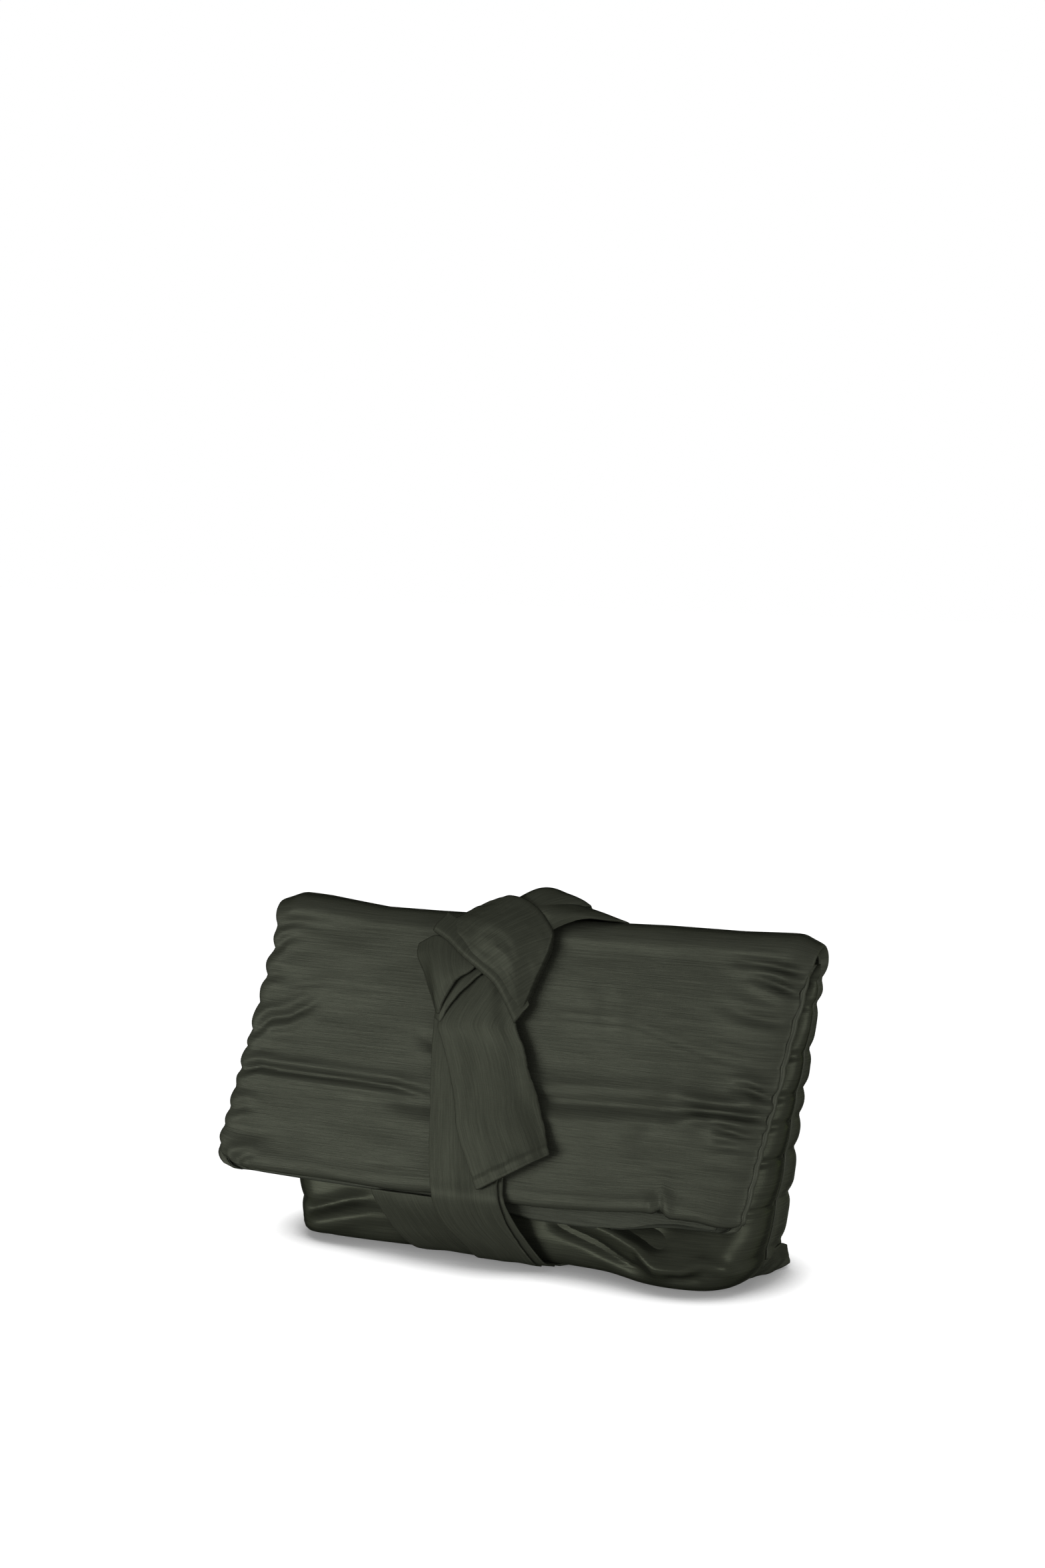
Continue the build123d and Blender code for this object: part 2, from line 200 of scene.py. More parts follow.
def crease(x, y, points, depth, width, lip=0.5, fade=(0.25, 0.25)):
    """A sewn-in or pressed fold along points: a valley with a soft lip on each side.
    fade is the share of its length over which it dies away at its start and its end."""
    p = np.asarray(points, float)
    best = np.full(x.shape, 1e9)
    where = np.zeros(x.shape)
    run = run_length(p)
    for i in range(len(p) - 1):
        leg = p[i + 1] - p[i]
        t = np.clip(((x - p[i, 0]) * leg[0] + (y - p[i, 1]) * leg[1]) / (leg @ leg), 0, 1)
        away = np.hypot(x - p[i, 0] - t * leg[0], y - p[i, 1] - t * leg[1])
        nearer = away < best
        best = np.where(nearer, away, best)
        where = np.where(nearer, (run[i] + t * (run[i + 1] - run[i])) / run[-1], where)
    ends = np.ones(x.shape)
    for share, along in zip(fade, (where, 1 - where)):
        if share > 0:
            ends = ends * smooth(0, share, along)
    valley = -np.exp(-((best / width) ** 2))
    lips = lip * np.exp(-(((best - LIP_AWAY * width) / (LIP_WIDTH * width)) ** 2))
    return depth * ends * (valley + lips)


def ridge(x, y, points, height, width, fade=(0.25, 0.25)):
    return -crease(x, y, points, height, width, 0.0, fade)


# ---- meshes ----------------------------------------------------------------------------------------
def facing_out(points, quads):
    """The faces turned so that they all face out of the closed shape."""
    a, b, c, d = (points[quads[:, n]] for n in range(4))
    volume = (a * np.cross(b, c)).sum() + (a * np.cross(c, d)).sum()
    return quads[:, ::-1] if volume < 0 else quads


def mesh_object(name, points, quads, uv, material):
    mesh = bpy.data.meshes.new(name)
    place = (np.asarray(points, float) + ORIGIN) / 1000.0
    mesh.from_pydata(place.tolist(), [], facing_out(place, np.asarray(quads)).tolist())
    mesh.materials.append(material)
    mesh.polygons.foreach_set("use_smooth", np.ones(len(mesh.polygons), bool))
    layer = mesh.uv_layers.new(name="Weave")
    corner = np.zeros(len(mesh.loops), np.int32)
    mesh.loops.foreach_get("vertex_index", corner)
    layer.data.foreach_set("uv", (np.asarray(uv)[corner] / WEAVE_UNIT).astype(np.float32).ravel())
    mesh.update()
    obj = bpy.data.objects.new(name, mesh)
    bpy.context.scene.collection.objects.link(obj)
    return obj


def sheet_mesh(name, outer, inner, weave, material, bulge=0.4, rim_rows=3):
    """A closed sheet between two grids of points, its edges rounded outwards by bulge.
    weave is each point's place on the flat cloth, across and along, in millimetres."""
    rows, cols = outer.shape[:2]
    count = rows * cols
    index = np.arange(count).reshape(rows, cols)
    loop = np.concatenate((index[0, :-1], index[:-1, -1], index[-1, :0:-1], index[:0:-1, 0]))
    inward = np.concatenate((index[1, :-1], index[:-1, -2], index[-2, :0:-1], index[:0:-1, 1]))
    flat_outer, flat_inner = outer.reshape(-1, 3), inner.reshape(-1, 3)
    out = unit(flat_outer[loop] - flat_outer[inward])
    rims = []
    for n in range(1, rim_rows + 1):
        t = n / (rim_rows + 1)
        share = 0.5 - 0.5 * math.cos(math.pi * t)
        rims.append(flat_outer[loop] * (1 - share) + flat_inner[loop] * share
                    + out * bulge * math.sin(math.pi * t))
    a, b = index[:-1, :-1].ravel(), index[:-1, 1:].ravel()
    c, d = index[1:, 1:].ravel(), index[1:, :-1].ravel()
    quads = [np.stack((a, b, c, d), axis=1), np.stack((a, d, c, b), axis=1) + count]
    rim_loops = [2 * count + n * len(loop) + np.arange(len(loop)) for n in range(rim_rows)]
    loops = [loop, *rim_loops, loop + count]
    for near, far in zip(loops, loops[1:]):
        quads.append(np.stack((near, far, np.roll(far, -1), np.roll(near, -1)), axis=1))
    flat_weave = weave.reshape(-1, 2)
    uv = np.vstack([flat_weave, flat_weave] + [flat_weave[loop]] * rim_rows)
    return mesh_object(name, np.vstack([flat_outer, flat_inner] + rims), np.vstack(quads), uv, material)


def patch(rows, across_count, along_count):
    """A smooth grid through rows of points."""
    lines = np.array([spline(row, across_count) for row in rows])
    return np.stack([spline(lines[:, n], along_count) for n in range(across_count)], axis=1)


def steps(grid, axis):
    """The distance from each row or column of a grid to the next, added up."""
    return np.linalg.norm(np.gradient(grid, axis=axis), axis=2).cumsum(axis=axis)


def weave_on(grid):
    """Each point's place on the flat cloth, across and along, measured on the grid."""
    return np.stack((steps(grid, 1), steps(grid, 0)), axis=2)


def uneven_edges(grid, seed):
    """Moves a strip's long edges in and out a little, as a seam turned inside out leaves them."""
    outward = unit(np.gradient(grid, axis=1))
    run = steps(grid, 0)[:, :1]
    s = np.linspace(-1, 1, grid.shape[1])[None, :]
    for side in (-1, 1):
        wave = value_noise(run / 7.0 + side * 5.3, run * 0 + 0.5, seed)
        wave = wave + 0.5 * value_noise(run / 2.6 + side, run * 0 + 1.5, seed)
        grid = grid + side * outward * (EDGE_UNEVENNESS * wave * smooth(0.4, 1.0, side * s))[..., None]
    return grid


def strip(name, outer, thickness, material, relief=None, bulge=0.4):
    """A flat strip of doubled cloth whose outer face is the grid outer."""
    outer = uneven_edges(outer, SEED + len(name))
    weave = weave_on(outer)
    if relief is not None:
        outer = outer + grid_normals(outer) * relief[..., None]
    inner = outer - grid_normals(outer) * thickness
    return sheet_mesh(name, outer, inner, weave, material, bulge)


def folds(rows, cols, count, height, seed):
    """Soft lengthwise folds across a strip, as heights on its grid."""
    s = np.linspace(0, 1, cols)[None, :]
    t = np.linspace(0, 1, rows)[:, None]
    waver = 0.15 * value_noise(t * 3 + seed, s * 0 + 0.5, seed)
    return height * fractal(s * count + waver * count, t * 1.4 + seed * 0.37, seed, 2)


# ---- materials -------------------------------------------------------------------------------------
def srgb(*levels):
    """A colour written as 0 to 255 levels, in linear light."""
    linear = []
    for level in levels:
        s = level / 255.0
        linear.append(s / 12.92 if s <= 0.04045 else ((s + 0.055) / 1.055) ** 2.4)
    return (*linear, 1.0)


def feed(tree, socket, value):
    """Gives a socket its value: another node's output, or a plain value."""
    if isinstance(value, bpy.types.NodeSocket):
        tree.links.new(value, socket)
    else:
        socket.default_value = value


def made(tree, kind, settings=None, inputs=None):
    """A new shader node with its settings, and its inputs fed by name or by number."""
    node = tree.nodes.new("ShaderNode" + kind)
    for setting, value in (settings or {}).items():
        setattr(node, setting, value)
    for socket, value in (inputs or {}).items():
        feed(tree, node.inputs[socket], value)
    return node


def maths(tree, operation, first, second):
    return made(tree, "Math", {"operation": operation}, {0: first, 1: second}).outputs["Value"]


def weighted_sum(tree, start, *terms):
    """The number start, and each term's value times its weight."""
    total = start
    for value, weight in terms:
        total = maths(tree, "ADD", total, maths(tree, "MULTIPLY", value, weight))
    return total


def multiplied(tree, first, second):
    """The product of two colours."""
    settings = {"data_type": "RGBA", "blend_type": "MULTIPLY"}
    return made(tree, "Mix", settings, {"Factor": 1.0, "A": first, "B": second}).outputs["Result"]


def eased(tree, value, start, end, low, high):
    """Goes smoothly from low to high while value goes from start to end."""
    inputs = {"From Min": start, "From Max": end, "To Min": low, "To Max": high, "Value": value}
    return made(tree, "MapRange", {"interpolation_type": "SMOOTHSTEP"}, inputs).outputs["Result"]


BUMP_DEPTH = 0.00028  # metres
GLEAM_TINT, SHEEN_TINT = srgb(120, 124, 104), srgb(150, 156, 132)


def satin(name, colour, roughness, sheen, slub=1.0, gleam=0.35, along=False):
    """Slubbed satin: long fine threads across the cloth (or along it), with colour and gloss that
    vary from thread to thread, and a fine weave bump. gleam is its metallic share."""
    material = bpy.data.materials.new(name)
    material.use_nodes = True
    tree = material.node_tree
    uv = made(tree, "UVMap", {"uv_map": "Weave"}).outputs["UV"]

    def noise(across, down, detail, rough):
        scale = (down, across, 1) if along else (across, down, 1)
        place = made(tree, "Mapping", None, {"Scale": scale, "Vector": uv}).outputs["Vector"]
        inputs = {"Vector": place, "Scale": 1.0, "Detail": detail, "Roughness": rough}
        return made(tree, "TexNoise", None, inputs).outputs["Fac"]

    def shades(value, *stops):
        node = made(tree, "ValToRGB", None, {"Fac": value})
        elements = node.color_ramp.elements
        for n, (at, level) in enumerate(stops):
            element = elements[n] if n < 2 else elements.new(at)
            element.position = at
            element.color = (level, level, level, 1)
        return node.outputs["Color"]

    threads = noise(5.0, 230.0, 4.0, 0.65)
    slubs = noise(1.6, 90.0, 3.0, 0.6)
    cross_threads = noise(160.0, 12.0, 2.0, 0.5)
    cloud = noise(1.7, 2.6, 3.0, 0.55)
    shade = multiplied(tree, shades(threads, (0.30, 0.80), (0.52, 1.0), (0.72, 1.22)),
                       shades(slubs, (0.28, 0.86), (0.55, 1.0), (0.75, 1.14)))
    shade = multiplied(tree, shade, shades(cloud, (0.3, 0.90), (0.7, 1.10)))
    height = weighted_sum(tree, 0.0, (threads, 0.9), (slubs, 0.8), (cross_threads, 0.35))
    bump = made(tree, "Bump", None, {"Strength": 0.5 * slub, "Distance": BUMP_DEPTH, "Height": height})
    inputs = {
        "Base Color": multiplied(tree, colour, shade),
        "Roughness": weighted_sum(tree, roughness - 0.10, (cloud, 0.12), (threads, 0.08)),
        "Specular IOR Level": 0.0,
        "Specular Tint": GLEAM_TINT,
        "Metallic": gleam,
        "Sheen Weight": sheen,
        "Sheen Roughness": 0.45,
        "Sheen Tint": SHEEN_TINT,
        "Normal": bump.outputs["Normal"],
    }
    for socket, value in inputs.items():
        feed(tree, tree.nodes["Principled BSDF"].inputs[socket], value)
    return material


SATIN = satin("outer_satin", srgb(58, 60, 52), 0.42, 0.03)
# The front panel below the flap is the same satin, glossier; its darker base colour than outer_satin is
# painted shade.
FRONT_SATIN_SHADED = satin("outer_satin_slack_shaded", srgb(49, 51, 43), 0.36, 0.02, slub=0.5, gleam=0.45)
SASH = satin("sash_satin", srgb(54, 56, 48), 0.46, 0.03, slub=0.7, along=True)
HEM = satin("hem_satin", srgb(54, 56, 49), 0.46, 0.03)
BINDING = satin("seam_binding", srgb(62, 64, 56), 0.42, 0.04, slub=0.6, along=True)
LINING_CLOTH = satin("lining_cloth", srgb(44, 46, 40), 0.55, 0.04, slub=0.4)


# ---- the sack's padded walls ------------------------------------------------------------------------
ROUNDNESS = 2.6  # 2 closes the padded ends in half ellipses, more makes them boxier


ACROSS_STEP, END_COLUMNS = 1.9, 16


def across(half, taper):
    """The shares u of a half width and the fullness there, closer together over the closing ends."""
    flat = half - taper
    middle = np.linspace(-flat, flat, int(2 * flat / ACROSS_STEP) | 1)
    angles = np.linspace(0, math.pi / 2, END_COLUMNS + 1)[1:]
    power = 2.0 / ROUNDNESS
    side = flat + taper * np.sin(angles) ** power
    falling = np.cos(angles) ** power
    falling[-1] = 0.0
    x = np.concatenate((-side[::-1], middle, side))
    full = np.concatenate((falling[::-1], np.ones(len(middle)), falling))
    return x / half, full


def arc(centre, radius, start, end, count):
    angles = np.radians(np.linspace(start, end, count))
    return np.stack((centre[0] + radius * np.cos(angles), centre[1] + radius * np.sin(angles)), axis=1)


BASE_ROWS, ROUNDED_ROWS, WALL_ROWS, CROWN_ROWS = 11, 10, 40, 16


# A path's rows hold the outer face's y and z, the seam's y and z, and the half width there.
def base_path(facing, inset):
    """From the bottom seam out and up round the bottom edge."""
    deep = half_depth(FULL_DEPTH_Z) - inset
    radius = BASE_ROUNDING - 0.6 * inset
    low = BASE_Z + inset
    rows = []
    for share in np.linspace(0, 1, BASE_ROWS, endpoint=False):
        y = middle_y(low) + facing * share * (deep - radius)
        rows.append((y, low, middle_y(low), low + 1.0, half_width(low) - BASE_ROUNDING))
    for angle in np.linspace(0, 90, ROUNDED_ROWS):
        s, c = math.sin(math.radians(angle)), math.cos(math.radians(angle))
        z = low + radius * (1 - c)
        y = middle_y(z) + facing * (deep - radius + radius * s)
        rows.append((y, z, middle_y(z), max(z, low + 1.0), half_width(z) - BASE_ROUNDING * (1 - s)))
    return rows


def wall_path(facing, inset):
    """From the bottom seam to the sack's top."""
    rows = base_path(facing, inset)
    for z in np.linspace(BASE_Z + BASE_ROUNDING + 6, SACK_TOP_Z, WALL_ROWS):
        rows.append((middle_y(z) + facing * (half_depth(z) - inset), z, middle_y(z), z, half_width(z)))
    return rows


def flap_path(facing, low_z, inset):
    """From the crease to the hem of a flap layer. facing is -1 for the front layer."""
    rows = []
    for z in np.linspace(CREASE_Z, low_z, WALL_ROWS):
        y = flap_middle_y(z) + facing * (flap_half_depth(z) - inset)
        rows.append((y, z, flap_middle_y(z), z, flap_half_width(z)))
    return rows


def crown_path(inset):
    """The back panel's turn over the crease."""
    outer = arc((FOLD_Y, CREASE_Z), FOLD_RADIUS - inset, 0, 180, CROWN_ROWS)
    seam = arc((CREASE_Y, CREASE_Z), SEAM_FOLD_RADIUS, 0, 180, CROWN_ROWS)
    wide = np.linspace(half_width(SACK_TOP_Z), FLAP_TOP_HALF_WIDTH, CROWN_ROWS)
    return np.column_stack((outer, seam, wide)).tolist()


def back_path(inset):
    return np.array(wall_path(1, inset) + crown_path(inset) + flap_path(-1, FLAP_HEM_Z, inset))


def front_path(inset):
    rows = wall_path(-1, inset)
    middle = middle_y(SACK_TOP_Z)
    start = middle - half_depth(SACK_TOP_Z) + inset
    for share in np.linspace(0.2, 1, 5):
        z = SACK_TOP_Z + share * (CREASE_Z - SACK_TOP_Z)
        y = start + share * (CREASE_Y - 0.3 + inset - start)
        rows.append((y, z, middle + share * (CREASE_Y + 1.2 - middle), z, half_width(SACK_TOP_Z)))
    return np.array(rows)


def inner_flap_path(inset):
    return np.array(flap_path(1, INNER_HEM_Z, inset))


def seam_shift(seam):
    """How far the cloth lies to one side at each point of a seam's path: the flap lies to the left."""
    over = smooth(2.5, -6.5, seam[:, 0])
    on_flap = np.where(seam[:, 1] < 160, seam_on_flap(seam), over)
    return flap_middle_x(seam[:, 1]) * on_flap + middle_x(seam[:, 1]) * (1 - on_flap)


def scallops(at, notches):
    """The rounded bulges between the notches that a gathered seam leaves along an edge: 0 to 1."""
    notches = np.array(notches, float)
    gap = np.clip(np.searchsorted(notches, at) - 1, 0, len(notches) - 2)
    low, high = notches[gap], notches[gap + 1]
    phase = np.clip((at - low) / (high - low), 0, 1)
    unevenness = 0.8 + 0.2 * np.sin(low * 1.7)
    return np.sin(math.pi * phase) ** 0.75 * np.minimum(1.0, (high - low) / 16.0) * unevenness


# heights of the notches in each gathered edge
NOTCHES = {
    ("sack", 1): (4, 17, 42, 66, 84, 98, 118, 142, 154, 172),
    ("sack", -1): (4, 20, 38, 60, 79, 101, 121, 139, 155, 172),
    ("flap", -1): (30, 44, 55, 65, 76, 86, 97, 105.5, 120, 133.5, 148, 160.5, 175),
    ("flap", 1): (30, 43, 56, 66, 74, 82, 88, 100, 114, 125, 136.5, 150, 161, 175),
}


def edge_wave(seam, side):
    """The scallop at each point of a seam's path of (y, z), on the sack or on the flap."""
    on_flap = np.where(seam[:, 1] > 150, smooth(-0.5, -4.5, seam[:, 0]), seam_on_flap(seam) * 1.0)
    sack = scallops(seam[:, 1], NOTCHES["sack", side])
    flap = scallops(seam[:, 1], NOTCHES["flap", side])
    return sack * (1 - on_flap) + flap * on_flap


EDGE_REACH, EDGE_PUFF = 1.2, 0.75
FLAP_CORNER = {-1: 12.0, 1: 4.0}
# the hems' heights along the flap, front layer and inner layer
FRONT_HEM = [(-170, 40), (-158, 36.6), (-143, 35.4), (-112, 35.5), (-65, 34.5), (-38, 35.8), (19, 34.8),
             (57, 37.2), (72, 39.0), (84, 40.4), (87, 42.0), (90, 40.0), (94, 38.5), (108, 38.8), (122, 37),
             (128, 37)]
INNER_HEM = [(-170, 34), (-110, 32.5), (-40, 31.5), (0, 29), (15, 27), (46, 26.6), (66, 28.4), (84, 32),
             (95, 33), (128, 33.5)]


def edge_offset(seam, side, hem_z=None):
    """How far an edge moves along X: in and out with its scallops, and in at the flap's corners."""
    offset = side * EDGE_REACH * (edge_wave(seam, side) - 0.45)
    if hem_z is not None:
        radius = FLAP_CORNER[side]
        up = np.clip(radius - (seam[:, 1] - hem_z), 0, radius)
        offset = offset - side * seam_on_flap(seam) * (radius - np.sqrt(radius**2 - up**2))
    return offset


def hem_drop(x, y, z, hem_z):
    """How far the cloth near a hem of the flap hangs above or below its even height."""
    heights = FRONT_HEM if hem_z == FLAP_HEM_Z else INNER_HEM
    drop = np.interp(x, *np.array(heights).T) - hem_z
    on_flap = (y < flap_middle_y(z) + 6.5) & (z < 100)
    return drop * on_flap * smooth(hem_z + 28, hem_z, z)


def gathered(grid, seam, u, hem_z=None, normal=None):
    """Moves a grid's side edges in and out with the scallops, and puffs it up beside them."""
    for side in (-1, 1):
        wave = edge_wave(seam, side)[:, None]
        near = smooth(0.80, 1.0, side * u)[None, :]
        grid[..., 0] += edge_offset(seam, side, hem_z)[:, None] * near
        if normal is not None:
            band = (smooth(0.74, 0.93, side * u) * smooth(1.02, 0.95, side * u))[None, :]
            flat = np.where(seam_on_flap(seam), 1.0, 0.4)[:, None]
            grid += normal * (EDGE_PUFF * flat * (wave - 0.35) * band)[..., None]
    if hem_z is not None:
        grid[..., 2] += hem_drop(*parts(grid), hem_z)
    return grid


FOLD_FULLNESS = 0.55
SIDE_BULGE, FOLD_BULGE, FLAP_BULGE = 3.2, 5.0, {-1: 3.0, 1: 1.2}


def side_bulge(seam, side):
    """How far the padding stands out beyond the seam at an edge, less at each notch."""
    on_flap = seam_on_flap(seam) * smooth(162, 152, seam[:, 1])
    over_fold = smooth(150, 163, seam[:, 1]) * (1 - on_flap)
    low = smooth(2, 16, seam[:, 1])
    amount = SIDE_BULGE * low * (1 - over_fold) + FOLD_BULGE * over_fold
    amount = amount * (1 - on_flap) + FLAP_BULGE[side] * on_flap
    evenness = 0.72 - 0.3 * on_flap
    return amount * (evenness + (1 - evenness) * edge_wave(seam, side))


def wall_grid(path, inset, run, reference, u, full, hem_z=None):
    """A wall's points at its inset, row for row at the reference path's run, and its seam's path."""
    at = run_length(reference[:, :2])
    rows = np.stack([np.interp(run, at, column) for column in path.T], axis=1)
    outer, seam, wide = rows[:, :2], rows[:, 2:4], rows[:, 4:]
    # the fold stays round almost to its ends
    over_fold = smooth(140, 166, seam[:, 1]) * FOLD_FULLNESS
    fullness = full[None, :] ** (1 - over_fold[:, None])
    if hem_z is not None and inset == 0:
        above = np.clip(1 - (seam[:, 1] - hem_z) / 4.0, 0, 1) * seam_on_flap(seam)
        fullness = fullness * (1 - 0.34 * (1 - np.sqrt(1 - above**2)))[:, None]
    x = seam_shift(seam)[:, None] + u[None, :] * (wide - 1.5 * inset)
    standing_out = 4 * full * (1 - full) * max(1 - inset / 5.0, 0)
    for side in (-1, 1):
        x += side * side_bulge(seam, side)[:, None] * (standing_out * (side * u > 0))[None, :]
    y = seam[:, 0:1] + fullness * (outer[:, 0:1] - seam[:, 0:1])
    z = seam[:, 1:2] + fullness * (outer[:, 1:2] - seam[:, 1:2])
    return np.stack((x, y, z), axis=2), seam


FLOOR_SETTLE = 1.45


def slumped(grid):
    """The sack's lower part bellies out and its bottom settles on the floor on either side of the
    sash."""
    x, y, z = parts(grid)
    ahead = np.clip((middle_y(z) - y) / 18.0, 0, 1) * (y > flap_middle_y(z) + 2.0)
    low = smooth(38, 17, z)
    belly = 11.0 * np.exp(-(((x - 92) / 33.0) ** 2)) + 2.0 * np.exp(-(((x + 92) / 30.0) ** 2))
    grid[..., 1] = y - belly * ahead * low
    behind = np.clip((y - middle_y(z)) / 18.0, 0, 1)
    grid[..., 1] += 2.5 * np.cos(x / 46.0 + 0.6) ** 2 * behind * smooth(70, 25, z)
    clear_of_sash = smooth(44, 70, np.abs(x - 8))
    grid[..., 2] = z - FLOOR_SETTLE * smooth(13, 5, z) * clear_of_sash
    return grid


def padded_wall(name, make_path, relief, step, lining_name, hem_z=None, cloth=SATIN, flip=False):
    """A padded panel as two pieces: the satin with the wadding behind it, and the lining."""
    u, full = across(TOP_HALF_WIDTH, END_TAPER)
    path = make_path(0.0)
    length = run_length(path[:, :2])[-1]
    run = np.linspace(0, length, int(length / step) + 2)
    grids = []
    for inset in (0.0, WALL - LINING, WALL - LINING + 0.1, WALL):
        grid, seam = wall_grid(make_path(inset), inset, run, path, u, full, hem_z)
        grids.append(slumped(grid))
    face, *others = grids
    weave = np.stack(np.broadcast_arrays(face[..., 0], run[:, None]), axis=2)
    normal = grid_normals(face) * (1 if flip else -1)
    closing = smooth(1.0, 0.93, np.abs(u))[None, :]
    lift = relief(*parts(face)) * (0.25 + 0.75 * closing)
    face = gathered(face + normal * lift[..., None], seam, u, hem_z, normal)
    satin_back, lining_front, lining_back = (gathered(grid, seam, u, hem_z) for grid in others)
    turned = slice(None, None, -1 if flip else 1)
    layers = ((name, face, satin_back, cloth), (lining_name, lining_front, lining_back, LINING_CLOTH))
    return [sheet_mesh(layer, near[:, turned], far[:, turned], weave[:, turned], material, 0.3)
            for layer, near, far, material in layers]


# folds on the flap's face: points (x, z), depth, width, lip, and the share faded out at each end
FLAP_CREASES = [
    # the left half: one long fold under the middle, short ones up from the edge's notches
    ([(-163, 84.5), (-151, 88.2), (-138, 87.6), (-99, 86.7), (-70, 85.8), (-40, 82)],
     2.2, 1.8, 0.5, (0, 0.25)),
    ([(-78, 81), (-60, 79.5), (-34, 78), (-15, 78)], 1.6, 4.0, 0.4, (0.3, 0.4)),
    ([(-160, 103), (-148, 113), (-137, 115), (-126.5, 120.6), (-114, 129.5)], 1.5, 2.2, 0.8, (0, 0.5)),
    ([(-154, 146), (-143, 154.6), (-132, 158)], 1.4, 2.2, 0.8, (0, 0.7)),
    ([(-152, 159), (-139, 163.8), (-122, 165)], 1.1, 2.2, 0.8, (0, 0.7)),
    ([(-158, 133), (-147, 136), (-136, 136)], 1.2, 2.2, 0.8, (0, 0.8)),
    ([(-168, 64), (-156, 67), (-145, 66)], 1.2, 2.2, 0.8, (0, 0.8)),
    ([(-141, 129.6), (-117, 133), (-68, 132.4)], 0.3, 0.8, 0.6, (0.1, 0.2)),
    ([(-135, 126.8), (-112, 130.2), (-75, 129.6)], 0.22, 0.7, 0.6, (0.1, 0.2)),
    ([(-64, 113), (-50, 109.5), (-37, 107), (-20, 106)], 1.0, 3.0, 0.6, (0.4, 0.4)),
    ([(-160, 40), (-150, 44), (-141, 43)], 1.3, 2.0, 0.8, (0, 0.7)),
    # the right half: puckers run in from the edge, and the long fold is crushed near it
    ([(147, 149), (134, 153.5), (122, 156.6), (112, 157.5)], 2.3, 2.1, 1.0, (0, 0.6)),
    ([(147, 159.5), (131, 161.8), (117, 163), (100, 165)], 1.9, 2.0, 0.9, (0, 0.6)),
    ([(143, 135.5), (128, 136.4), (115, 138.5), (100, 142.6)], 1.1, 2.4, 0.7, (0, 0.6)),
    ([(141, 113), (106, 115.8), (60, 128), (15, 128.7)], 0.32, 0.8, 0.7, (0, 0.1)),
    ([(141, 118), (120, 119), (96, 124)], 0.25, 0.8, 0.7, (0, 0.3)),
    ([(143, 98), (133, 101), (124, 103.3), (111, 103.5)], 2.2, 1.9, 1.2, (0, 0.6)),
    ([(142, 89.5), (130, 90.8), (110, 91), (87, 91.1)], 2.4, 2.0, 1.1, (0, 0.3)),
    ([(112, 90.4), (80, 89.6), (50, 88.4), (14, 86.6), (-12, 86)], 1.9, 3.4, 0.5, (0.22, 0.22)),
    ([(140, 81), (126, 81), (113, 84), (101, 89)], 1.7, 1.9, 1.0, (0, 0.5)),
    ([(138, 75.5), (118, 76.2), (104, 73.5)], 1.3, 2.0, 0.9, (0, 0.6)),
    ([(92, 112), (79, 84), (64, 60)], 0.7, 6.0, 0.5, (0.3, 0.3)),
    ([(45, 146), (44, 118)], 0.5, 4.0, 0.6, (0.3, 0.4)),
    ([(87, 38), (86, 45), (83, 50)], 1.6, 2.0, 0.7, (0, 0.6)),
]


def dimple(x, z, middle, reach, height):
    return height * np.exp(-(((x - middle[0]) / reach[0]) ** 2) - ((z - middle[1]) / reach[1]) ** 2)


def flap_relief(x, z):
    """Folds on the flap's face, in the flap's own x and z."""
    relief = 1.2 * fractal(x / 58.0, z / 36.0, SEED, 2) + 0.22 * fractal(x / 38.0, z / 8.0, SEED + 5, 2)
    for points, depth, width, lip, fade in FLAP_CREASES:
        relief += crease(x, z, points, depth, width, lip, fade)
    relief += dimple(x, z, (-146, 54.5), (9.0, 5.0), -1.1) + dimple(x, z, (-152, 44.0), (8.0, 4.0), 0.9)
    # the padding rolls over the hem
    return relief + 0.7 * np.exp(-(((z - FLAP_HEM_Z - 5.5) / 3.4) ** 2))


def sack_notches():
    """The notches in the sack's two side edges but for the end ones: side, number and height."""
    return [(side, n, at) for side in (-1, 1) for n, at in enumerate(NOTCHES["sack", side][1:-1])]


def back_relief(x, z):
    relief = 0.8 * fractal(x / 60.0 + 3, z / 18.0, SEED + 11) + 0.2 * fractal(x / 20.0, z / 6.0, SEED + 15)
    for side, n, at in sack_notches():
        start = side * (50 + 35 * ((n * 7) % 4) / 3)
        drop = -6 + 5 * (n % 3)
        points = [(start, at + drop), (side * 105, at + drop / 2), (side * 152, at)]
        relief += crease(x, z, points, 1.3, 2.6, 0.7, (0.7, 0.0))
    return relief


# how much higher or lower the fold's top runs than an even one, along it
FOLD_TOP = [(-152, 1.0), (-140, 3.2), (-125, 2.4), (-105, 0.4), (-90, -1.0), (-60, -0.8), (-20, 0.0),
            (40, 0.6), (70, 1.6), (110, 1.9), (130, 2.8), (142, 3.4), (150, 2.0)]


def outside_relief(x, y, z):
    over_top = smooth(160, 172, z) * np.interp(x, *np.array(FOLD_TOP).T)
    on_flap = smooth(-8.0, -13.0, y) * (z > 30) * (y < flap_middle_y(z) + 1)
    on_back = (y > middle_y(z) - 1) * (z > 6) * smooth(176, 160, z)
    return on_flap * flap_relief(x, z) + on_back * (1 - on_flap) * back_relief(x, z) + over_top


